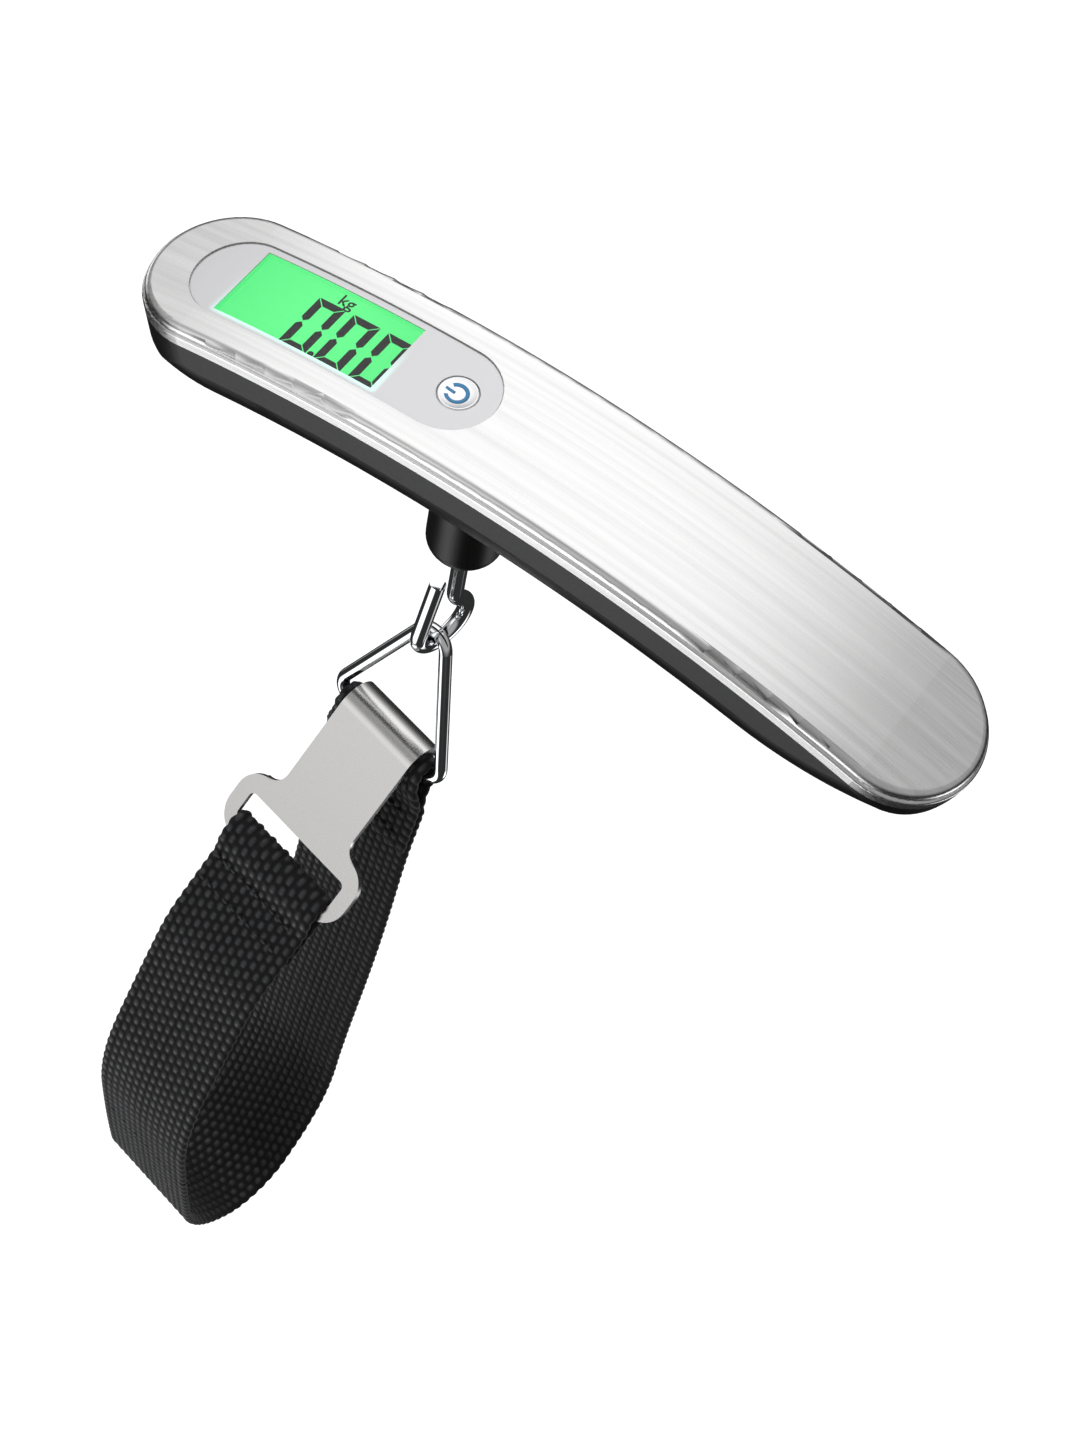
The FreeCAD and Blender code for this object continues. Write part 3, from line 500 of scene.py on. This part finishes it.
# %% [markdown]
# ## The light that leaks into the paint
# Next to the display some backlight leaks through the thin plastic as a pale line, strongest on the reader's
# side and gone on the far side. How strong it is follows from the distance to the window's edges, worked out
# along and across it, and it fades out smoothly.

# %% Let the light leak
leak_width = 1.1 * mm
leak_start = 1.5 * mm       # over this length the leak sets in at the window's first corner
half_length = window_length / 2
half_width = window_width / 2
shift = add(tree, "ShaderNodeMapping", {"Vector": own_place(tree), "Location": (-window_centre, 0, 0)})
sides = add(tree, "ShaderNodeSeparateXYZ", {0: shift.outputs[0]})
gaps = []
for axis, half in (("X", half_length), ("Y", half_width)):
    size = add(tree, "ShaderNodeMath", {0: sides.outputs[axis]}, operation="ABSOLUTE")
    over = add(tree, "ShaderNodeMath", {0: size.outputs[0], 1: half}, operation="SUBTRACT")
    gaps.append(add(tree, "ShaderNodeMath", {0: over.outputs[0], 1: 0.0}, operation="MAXIMUM").outputs[0])
away = add(tree, "ShaderNodeCombineXYZ", {"X": gaps[0], "Y": gaps[1]})
distance_out = add(tree, "ShaderNodeVectorMath", {0: away.outputs[0]}, operation="LENGTH")
leak = add(tree, "ShaderNodeMapRange", {"Value": distance_out.outputs["Value"], "From Min": 0.0,
                                        "From Max": leak_width, "To Min": 1.0, "To Max": 0.0},
           interpolation_type="SMOOTHERSTEP")
near_side = add(tree, "ShaderNodeMapRange", {"Value": sides.outputs["Y"], "From Min": -half_width,
                                             "From Max": half_width * 0.4, "To Min": 0.5, "To Max": 0.0})
right_of = add(tree, "ShaderNodeMapRange", {"Value": sides.outputs["X"],
                                            "From Min": -half_length - leak_start,
                                            "From Max": -half_length + leak_start})
spread = add(tree, "ShaderNodeMath", {0: near_side.outputs[0], 1: right_of.outputs[0]}, operation="MULTIPLY")
strength = add(tree, "ShaderNodeMath", {0: leak.outputs[0], 1: spread.outputs[0]}, operation="MULTIPLY")
tree.links.new(strength.outputs[0], shader.inputs["Emission Strength"])
shader.inputs["Emission Color"].default_value = linear("#86FFE0")
print("leak reaches", leak_width / mm, "mm")

# %% [markdown]
# ## The mark on the button
# The button is dished, and a power mark is printed in its hollow in blue: an open ring with a bar in the
# gap. The ring is an edge spun round most of a circle, the bar a small grid, and both are laid on the dish,
# whose depth follows from the button's own sizes. The gap faces the display.

# %% Print the mark
button_low, button_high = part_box("power_button")
button_top = 3.3 * mm
dish_radius = 10.6 * mm
dish_depth = 0.45 * mm
mark_radius = 1.7 * mm
mark_line = 0.62 * mm
mark_gap = math.radians(76)
print_lift = 0.05 * mm      # clear of the dish's facets
mark_bar = 1.9 * mm
mark_shift = 0.1 * mm       # towards the display
button_place = along_arch((button_low.x + button_high.x) / 2, 0) - mark_shift


def on_dish(x, y, h):
    """A place on the button's hollow top."""
    fall = dish_radius - math.sqrt(dish_radius ** 2 - x * x - y * y)
    return on_arch(button_place + x, y, button_top - dish_depth + fall + print_lift + h)


bm = bmesh.new()
ends = [bm.verts.new((mark_radius + side * mark_line / 2, 0, 0)) for side in (-1, 1)]
start = bm.edges.new(ends)
turn_from = Matrix.Rotation(math.pi + mark_gap / 2, 3, "Z")
bmesh.ops.rotate(bm, matrix=turn_from, verts=bm.verts)
bmesh.ops.spin(bm, geom=[*bm.verts, start], cent=(0, 0, 0), axis=(0, 0, 1), angle=2 * math.pi - mark_gap,
               steps=40)
short = bmesh.ops.create_grid(bm, x_segments=6, y_segments=2, size=0.5)["verts"]
bmesh.ops.scale(bm, vec=(mark_bar, mark_line * 0.85, 1), verts=short)
bmesh.ops.translate(bm, vec=(-mark_radius * 0.75, 0, 0), verts=short)
lay(bm, ink_thickness, on_dish)
blue_ink = moulded("blue_pad_print", "#4FA3DC", 0.4, 0.5, 0.05, IOR=1.5)
mark = finished("power_mark", bm, blue_ink, "button", "silver_plastic")
print("mark", len(mark.data.polygons), "faces")

# %% [markdown]
# ## The webbing's path
# The strap is one length of nylon webbing. It starts as a sewn tail behind the hook-on plate, folds over the
# plate's cross bar, runs down and round the loop, comes back up to the ring, folds over the ring's bar and
# ends in a second sewn tail. All of that lies in one plane, so the path is a list of corners with the radius
# of each bend, measured from the ring's bar, which is where the strap swings.

# %% Measure the plane and the plate
swing = joints["strap_swing"]
ring_bar = Vector(swing["pos_m"])
across = Vector(swing["axis"]).normalized()
rear = Vector((0, 0, 1)).cross(across)

# all in millimetres, as every size of the webbing is
webbing_width = 24.0
half_cloth = 0.42           # half the cloth's thickness between its stitches
stitch_height = 0.5
layer = 1.65                # from one layer's middle to the next where two are sewn together
plate_lean = math.radians(41)
plate_line = 3.6            # the plate's outer face from the ring's bar
plate_end = 34.0
fold_at = 29.5              # the cross bar that the webbing is folded over
fold_radius = 1.7
front_tail_length = 16.0
back_lean = math.radians(10)
eye_radius = 2.35
back_tail_length = 22.0
almost = 0.999              # a half turn made of two quarter bends that just leave each other room


def from_plate(off, along):
    """(rearward, up) in millimetres from the ring's bar, off the plate's line and along it."""
    return (-math.cos(plate_lean) * off - math.sin(plate_lean) * along,
            math.sin(plate_lean) * off - math.cos(plate_lean) * along)


def from_back(off, along):
    """The same for the run that comes up behind."""
    return (-math.cos(back_lean) * off - math.sin(back_lean) * along,
            math.sin(back_lean) * off - math.cos(back_lean) * along)


print("ring's bar at", [round(v / mm, 1) for v in ring_bar])

# %% [markdown]
# ## The corners of the path
# The sewn ends turn tightly round steel, so their bends have the steel's own size. The limp part between them
# is only given as a few places that it passes, and each of its bends is made as large as its two runs leave
# room for, because webbing under its own weight has no tight corner.

# %% List the corners
inner = plate_line + 0.25 - fold_radius
outer = plate_line + 0.25 + fold_radius
run = inner + layer
front_tail = [(from_plate(inner, fold_at + front_tail_length), 0),
              (from_plate(inner, fold_at), fold_radius * almost),
              (from_plate(outer, fold_at), fold_radius * almost), (from_plate(outer, plate_end + 0.6), 4),
              (from_plate(run, plate_end + 4), 4)]
limp = [from_plate(run, 46.02), from_plate(run, 55), (-55.5, -75.5), (-54, -101.5), (-50.5, -128.5),
        (-31.5, -144.5), (-13, -122.5), (-8.2, -78), from_back(-layer / 2, 26), from_back(-layer / 2, 11)]
back_tail = [(from_back(-layer / 2, 9), 6), (from_back(-eye_radius, 4), 4),
             (from_back(-eye_radius, -eye_radius), eye_radius * almost),
             (from_back(eye_radius, -eye_radius), eye_radius * almost), (from_back(eye_radius, 4), 4),
             (from_back(layer / 2, 9), 6), (from_back(layer / 2, back_tail_length), 0)]


def eased(points, share=0.47):
    """Each inner point of a limp run with a bend as large as its two runs leave room for."""
    corners = []
    for before, here, after in zip(points, points[1:], points[2:]):
        a, b = Vector(here) - Vector(before), Vector(after) - Vector(here)
        corners.append((here, share * min(a.length, b.length) / math.tan(a.angle(b) / 2)))
    return corners


corners = front_tail + eased(limp) + back_tail
print(len(corners), "corners")

# %% [markdown]
# ## From corners to a path
# The path is walked from corner to corner: straight up to a bend, round it in small steps, and on. What
# comes out is a row of points with the distance travelled to each, so any place on the strap can be looked
# up by how far along the webbing it lies.

# %% Walk the path
def walk(corners, step=0.25):
    """Points of the rounded path about step apart."""
    points = [Vector(corners[0][0])]
    for (before, _), (here, radius), (after, _) in zip(corners, corners[1:], corners[2:]):
        here = Vector(here)
        a = (here - Vector(before)).normalized()
        b = (Vector(after) - here).normalized()
        turn = math.atan2(a.x * b.y - a.y * b.x, a.dot(b))
        reach = radius * math.tan(abs(turn) / 2)
        entry = here - a * reach
        normal = Vector((-a.y, a.x)) * math.copysign(radius, turn)
        count = max(2, math.ceil(radius * abs(turn) / step))
        for k in range(count + 1):
            bend = Matrix.Rotation(turn * k / count, 2)
            points.append(entry + normal - bend @ normal)
    points.append(Vector(corners[-1][0]))
    return np.array([tuple(p) for p in points])


path = walk(corners)
strides = np.linalg.norm(np.diff(path, axis=0), axis=1)
path = path[np.append(True, strides > 1e-4)]
travelled = np.append(0, np.cumsum(np.linalg.norm(np.diff(path, axis=0), axis=1)))
webbing_length = travelled[-1]


def on_path(v):
    """(rearward, up) at one or more distances along the webbing."""
    return np.stack([np.interp(v, travelled, path[:, k]) for k in (0, 1)], axis=-1)


def heading(v, look_round=0.3):
    """Which way the path runs there, taken from just before to just after."""
    return on_path(v + look_round) - on_path(v - look_round)


print("webbing", round(webbing_length, 1), "mm long")

# %% [markdown]
# ## Weaving
# Luggage webbing is a plain weave of thick yarns. What shows is a brick pattern of plump stitches: columns
# along the strap, each column half a stitch out of step with the next. A long grid is rolled into a closed,
# flat tube whose two faces carry the stitches and whose two edges are the selvedges. The grid's points sit
# five to a stitch, so every stitch is a real bump, and each selvedge turns over in small loops.

# %% Size the weave
column = 1.71               # width of a column of stitches
stitch = 2.3                # length of a stitch
steps_per_stitch = 5
columns = round(webbing_width / column)
rows = round(webbing_length / stitch)
face_cells = columns * steps_per_stitch
edge_cells = 4              # cells round a selvedge
around = 2 * (face_cells + edge_cells)
along_cells = rows * steps_per_stitch
print(columns, "columns and", rows, "rows of stitches")

# %% [markdown]
# ## One point of the weave
# Two questions place a point of the grid. Where is it in the section: on the upper face, on the lower one
# or on a selvedge? And how high does the stitch stand there? A stitch is highest in its middle, and a power
# below one makes it plump. The lower face is shifted by a quarter column, so that the faces don't line up.

# %% Shape one point of the weave
plumpness = 0.7
lower_shift = 0.25


def spot_in_section(index):
    """(side, out, face) for a point of the section: side in millimetres, out -1 to 1, face 1 where woven."""
    half = webbing_width / 2 - half_cloth
    i = index % around
    lower = i >= face_cells + edge_cells
    i -= (face_cells + edge_cells) * lower
    sign = -1 if lower else 1
    if i <= face_cells:
        return sign * (-half + 2 * half * i / face_cells), sign, 1.0
    angle = math.pi * (i - face_cells) / edge_cells
    return sign * (half + half_cloth * math.sin(angle)), sign * math.cos(angle), 0.0


def relief(side, sign, v):
    """Height of the stitches over the cloth, in millimetres."""
    u = side / column + (lower_shift if sign < 0 else 0)
    lane = math.floor(u)
    row = v / stitch + 0.5 * (lane % 2)
    over = math.sin(math.pi * (u - lane)) * abs(math.sin(math.pi * row))
    return stitch_height * over ** plumpness


print("a stitch stands", round(relief(column / 2, 1, 0.95), 2), "mm proud")

# %% [markdown]
# ## Sway and gather
# Real webbing never hangs quite flat. The loop's front run has swung a little one way and its back run the
# other, most in the middle of each. Where the strap passes through the ring it is drawn together, because the
# ring is narrower than the webbing.

# %% Let it sway
front_sway, front_middle, front_spread = 1.6, 105.0, 40.0
back_sway, back_middle, back_spread = 2.0, 198.0, 42.0
gather = 0.1                # share of its width that the webbing loses in the ring
gather_end = 13.0           # from the ring, where the webbing has its full width again
gather_length = 5.0         # over which it comes back
eye_at = webbing_length - (back_tail_length + eye_radius * (math.pi / 2 + 1))


def sway(v):
    """How far out of its plane the limp loop has swung at this distance along it."""
    return (front_sway * math.exp(-((v - front_middle) / front_spread) ** 2)
            - back_sway * math.exp(-((v - back_middle) / back_spread) ** 2))


def squeeze(v):
    """The share of its width that the strap has at this distance along it."""
    return 1 - gather * min(1, max(0, (gather_end - abs(v - eye_at)) / gather_length))


print("sway", round(sway(front_middle), 2), "mm in front,", round(sway(back_middle), 2), "mm behind")
print("the strap passes the ring at", round(eye_at, 1), "mm")

# %% [markdown]
# ## Weaving a length
# A grid is made flat, with its columns round the strap and its rows along it, and gets a map of the flat
# cloth for the material. Then each point is carried to its place: out from the path by its stitch, sideways
# by the sway, and turned with the path's direction there. Last, the grid's two long sides are joined into a
# tube and its two ends are closed.

# %% Weave a length
selvedge_loop = 0.3         # how far the loops of the selvedge stand out, and the share of a stitch they rise


def weave(name, first, last, body):
    """The strap between two rows, as one closed piece."""
    bm = bmesh.new()
    steps = (last - first) * steps_per_stitch
    bmesh.ops.create_grid(bm, x_segments=around, y_segments=steps, size=0.5)
    uv = bm.loops.layers.uv.new("cloth")
    depth = bm.verts.layers.float.new("stitch")
    for face in bm.faces:
        for loop in face.loops:
            loop[uv].uv = ((loop.vert.co.x + 0.5) * 2 * webbing_width * mm,
                           ((loop.vert.co.y + 0.5) * steps / steps_per_stitch + first) * stitch * mm)
    turns = np.round((np.array([v.co.x for v in bm.verts]) + 0.5) * around).astype(int)
    step_length = webbing_length / along_cells
    rows_at = ((np.array([v.co.y for v in bm.verts]) + 0.5) * steps + first * steps_per_stitch) * step_length
    for vert, i, v, (y, z), (dy, dz) in zip(bm.verts, turns, rows_at, on_path(rows_at), heading(rows_at)):
        side, out, woven = spot_in_section(int(i))
        length = math.hypot(dy, dz)
        bump = relief(side, out, v) if woven else selvedge_loop * stitch_height
        vert[depth] = bump / stitch_height
        high = out * (half_cloth + bump)
        wide = side * squeeze(v) + sway(v)
        if not woven:
            wide += math.copysign(selvedge_loop * abs(math.sin(math.pi * v / stitch)), side)
        vert.co = (ring_bar + across * (wide * mm) + rear * ((y + high * dz / length) * mm)
                   + Vector((0, 0, (z - high * dy / length) * mm)))
    bmesh.ops.remove_doubles(bm, verts=bm.verts, dist=0.002 * mm)
    bmesh.ops.edgeloop_fill(bm, edges=[edge for edge in bm.edges if edge.is_boundary])
    piece = finished(name, bm, webbing_look, body, "webbing_black")
    print(name, len(piece.data.polygons), "faces")
    return piece


print("cloth is", around, "cells round and", along_cells, "along")

# %% [markdown]
# ## Black nylon
# The yarn is spun-dyed nylon: very dark, with a soft gloss on the crown of each stitch. The woven mesh says
# how high each point stands in its stitch, and from that the colour gets painted shade in the gaps between
# the stitches and a painted highlight on the crowns, which are also smoother. A bump along the strap at the
# pitch of the filaments, drawn at 0.25 mm, keeps each stitch from looking cast, and a slow noise dulls the
# painted highlight on some of them.

# %% Dye the nylon
webbing_look, tree, shader = material("black_nylon_webbing", IOR=1.53, Sheen_Weight=0.15, Sheen_Roughness=0.4)
cloth = add(tree, "ShaderNodeUVMap", uv_map="cloth").outputs[0]
crown = add(tree, "ShaderNodeAttribute", attribute_name="stitch").outputs["Fac"]
filaments = noise(tree, cloth, (0.25, 1.2, 1), 2.0)
# a slow noise that dulls the painted crown highlight on some stitches
crown_highlight_noise = noise(tree, cloth, (column, stitch, 1), 1.0)
lift = add(tree, "ShaderNodeMapRange", {"Value": crown, "From Min": 0.35, "From Max": 1.0},
           interpolation_type="SMOOTHSTEP")
# painted highlight: each crown's share of the lighter colour, dulled at random by the slow noise
painted_crown_highlight = add(tree, "ShaderNodeMath", {0: lift.outputs[0], 1: crown_highlight_noise}, operation="MULTIPLY")
# painted shade and highlight: #030303 is painted shade in the gaps, #45474B a painted highlight on the crowns
shade = add(tree, "ShaderNodeMix", {"Factor": painted_crown_highlight.outputs[0], "A": linear("#030303"),
                                    "B": linear("#45474B")}, data_type="RGBA")
tree.links.new(shade.outputs["Result"], shader.inputs["Base Color"])
rough = add(tree, "ShaderNodeMapRange", {"Value": lift.outputs[0], "To Min": 0.85, "To Max": 0.42})
tree.links.new(rough.outputs[0], shader.inputs["Roughness"])
emboss(tree, shader, filaments, 0.5, 0.1)
print("nylon", webbing_look.name)

# %% [markdown]
# ## Two lengths that meet
# When the plate is unhooked, the front of the strap goes with it and the rest stays on the ring. So the strap
# is woven in two lengths that share a row: the front one is left on no moving part, and the other rides on
# the strap.

# %% Weave the strap
seam_at = 103.5             # along the webbing, in the limp front run below the plate
seam_row = round(seam_at / stitch)
front = weave("webbing_front", 0, seam_row, None)
loop = weave("webbing_loop", seam_row, rows, "strap")


def in_space(place):
    """A place in the strap's plane, given in millimetres from the ring's bar."""
    return ring_bar + rear * (place[0] * mm) + Vector((0, 0, place[1] * mm))


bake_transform(front)
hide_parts("webbing_end")
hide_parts("webbing_strap")

# %% [markdown]
# ## Sewing
# Both ends of the webbing are sewn down with rows of black thread. Each stitch is a small sphere drawn out to
# a grain of rice and half sunk in the cloth, which is enough at this size.

# %% Sew the ends
thread_length = 1.7
thread_radius = 0.32
thread_step = 1.25          # from one stitch to the next, in stitches
hem = 1.5                   # from a selvedge to the first stitch
front_rows = (27.5, 33.0)
back_rows = (webbing_length - 3.5, webbing_length - 10.0)


def sew(name, places, body):
    """Rows of stitches across the outer face, at these distances along the webbing."""
    bm = bmesh.new()
    for v in places:
        dy, dz = heading(v)
        length = math.hypot(dy, dz)
        up = rear * (dz / length) - Vector((0, 0, dy / length))
        high = half_cloth + stitch_height * 0.75
        centre = in_space(on_path(v)) + up * (high * mm)
        turned = Matrix((across, up, across.cross(up))).transposed().to_4x4()
        reach = webbing_width / 2 * squeeze(v) - hem
        for x in np.arange(-reach, reach, thread_length * thread_step):
            spot = Matrix.Translation(centre + across * (x * mm)) @ turned
            long = Matrix.Diagonal((thread_length / 2 * mm, thread_radius * mm, thread_radius * mm, 1))
            bmesh.ops.create_icosphere(bm, subdivisions=2, radius=1.0, matrix=spot @ long)
    return finished(name, bm, thread, body, "webbing_black")


thread = moulded("bonded_nylon_thread", "#1D1E20", 0.42, 0.3, 0.4, IOR=1.53)
sew("stitches_front", front_rows, "buckle")
sew("stitches_back", back_rows, "strap")
print("stitches sewn with", thread.name)

# %% [markdown]
# ## The hook-on plate
# The plate is stamped from 1.2 mm strip, so its edges are rounded over by tumbling. The CAD piece has sharp
# edges. A copy of it, with its loose triangles merged and a small bevel on every sharp edge, catches the
# light along its rim as the real one does. The bevel would make the flat faces look swollen, so their normals
# are weighted by area, which keeps the flats flat.

# %% Round the plate's edges
edge_round = 0.25 * mm
sharp_angle = math.radians(50)


def softened(node, width, look, body, slot, segments=3):
    """A copy of a CAD node with its sharp edges rounded."""
    bm = bmesh.new()
    bm.from_mesh(nodes[node].data)
    bmesh.ops.remove_doubles(bm, verts=bm.verts, dist=0.002 * mm)
    bmesh.ops.dissolve_limit(bm, angle_limit=math.radians(1), verts=bm.verts, edges=bm.edges)
    sharp = [edge for edge in bm.edges if len(edge.link_faces) == 2 and edge.calc_face_angle() > sharp_angle]
    bmesh.ops.bevel(bm, geom=sharp, offset=width, offset_type="OFFSET", segments=segments, profile=0.5,
                    affect="EDGES", material=-1, clamp_overlap=True)
    piece = finished(node + "_finished", bm, look, body, slot)
    even = piece.modifiers.new("flat faces stay flat", "WEIGHTED_NORMAL")
    even.weight = 100
    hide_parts(node)
    return piece


plate = softened("strap_buckle", edge_round, nickel, "buckle", "satin_nickel")
print("plate", len(plate.data.polygons), "faces")

# %% [markdown]
# ## Finishes for the CAD pieces
# The rest of the CAD pieces keep their own shape and only get their finish.

# %% Give every CAD piece its finish
finishes = {
    steel: ["top_cover"], panel_paint: ["display_panel"], button_paint: ["power_button"],
    acrylic: ["display_window"], black_abs: ["bottom_shell", "battery_door"],
    chrome: ["hook", "triangle_ring"], nickel: ["strap_buckle", "tact_switch"],
    zinc: ["board_screws", "shell_screws", "chassis_plate", "load_cell_screws", "hook_washer", "hook_nut"],
    machined: ["load_cell"], coin_can: ["coin_battery"], spring_brass: ["contact_minus", "contact_plus"],
    plain_abs: ["inner_frame"], black_tray: ["battery_tray"], acetal: ["boss_bush"],
    laminate: ["circuit_board"], resin: ["chip_resin"], silicone: ["gauge_sealant"],
    jacket: ["load_cell_wires", "battery_wires"], foam: ["door_pad"], zebra: ["zebra_strips"],
    guide: ["backlight"], cell_glass: ["lcd_glass"], webbing_look: ["webbing_strap", "webbing_end"],
}
for look, names in finishes.items():
    for name in names:
        nodes[name].data.materials.clear()
        nodes[name].data.materials.append(look)
unfinished = sorted(set(nodes) - {name for names in finishes.values() for name in names})
print("CAD pieces without a finish:", unfinished)

# %% [markdown]
# ## Floor
# A wide pale floor lies well below the strap, so that the scale's shadow is faint. It is a light table: it
# glows a little by itself, as the opal sheets of a product studio do. It is kept out of the mirror images, or
# every upright wire and wall would only show white paper.

# %% Lay the floor
floor_gap = 60 * mm
floor_half = 4.0            # metres, so that its edges stay far away
floor_glow = 0.62
floor_level = cad_box[0].z - floor_gap
bm = bmesh.new()
bmesh.ops.create_grid(bm, x_segments=1, y_segments=1, size=floor_half)
bmesh.ops.translate(bm, vec=(0, 0, floor_level), verts=bm.verts)
floor_mesh = bpy.data.meshes.new("floor")
bm.to_mesh(floor_mesh)
bm.free()
opal = moulded("opal_light_table", "#F4F4F4", 0.8, 40.0, 0.02, IOR=1.4, Emission_Color=linear("#FFFFFF"),
               Emission_Strength=floor_glow)
floor_mesh.materials.append(opal)
floor = bpy.data.objects.new("floor", floor_mesh)
floor.visible_glossy = False
bpy.context.scene.collection.objects.link(floor)
print("floor at", round(floor_level / mm), "mm")

# %% [markdown]
# ## Light
# Polished and brushed metal only show what surrounds them, so the studio is drawn as a room: a dark grey dome
# with soft panels of light in it. The largest hangs where the cover's middle mirrors it, which makes the
# middle white and lets both ends fall off to grey. The others stand in front and to the sides and draw the
# bright lines on wires, plate and rims. Each panel is a direction, the angle in degrees where it is full, the
# angle where it has faded out, and its strength. Low down the dome is nearly black, which gives the mirrors
# their dark lines.

# %% Hang the panels
dome_strength = 0.4
well_strength = 0.03
panels = [((-0.3, 0.48, 0.82), 14, 40, 1.05), ((-0.25, -0.78, -0.57), 8, 28, 2.4),
          ((0.75, 0.2, -0.6), 4, 20, 2.2), ((-0.5, -0.78, 0.42), 6, 30, 0.75),
          ((-0.9, 0.3, -0.2), 4, 20, 1.5)]

world = bpy.data.worlds.new("dark_room_with_soft_panels")
world.use_nodes = True
tree = world.node_tree
tree.nodes.clear()
look = add(tree, "ShaderNodeTexCoord").outputs["Generated"]
height = add(tree, "ShaderNodeSeparateXYZ", {0: look}).outputs["Z"]
dome = add(tree, "ShaderNodeMapRange", {"Value": height, "From Min": -0.05, "From Max": 0.45,
                                        "To Min": well_strength, "To Max": dome_strength},
           interpolation_type="SMOOTHSTEP")
total = dome.outputs[0]
for direction, full, gone, strength in panels:
    facing = add(tree, "ShaderNodeVectorMath", {0: look, 1: Vector(direction).normalized()},
                 operation="DOT_PRODUCT")
    panel = add(tree, "ShaderNodeMapRange", {"Value": facing.outputs["Value"],
                                             "From Min": math.cos(math.radians(gone)),
                                             "From Max": math.cos(math.radians(full)),
                                             "To Min": 0.0, "To Max": strength},
                interpolation_type="SMOOTHSTEP")
    total = add(tree, "ShaderNodeMath", {0: total, 1: panel.outputs[0]}, operation="ADD").outputs[0]
sky = add(tree, "ShaderNodeBackground", {"Color": linear("#FBFBFC"), "Strength": total})
add(tree, "ShaderNodeOutputWorld", {"Surface": sky.outputs[0]})
bpy.context.scene.world = world
bpy.context.scene.view_settings.view_transform = "Standard"
print(len(panels), "panels of light")
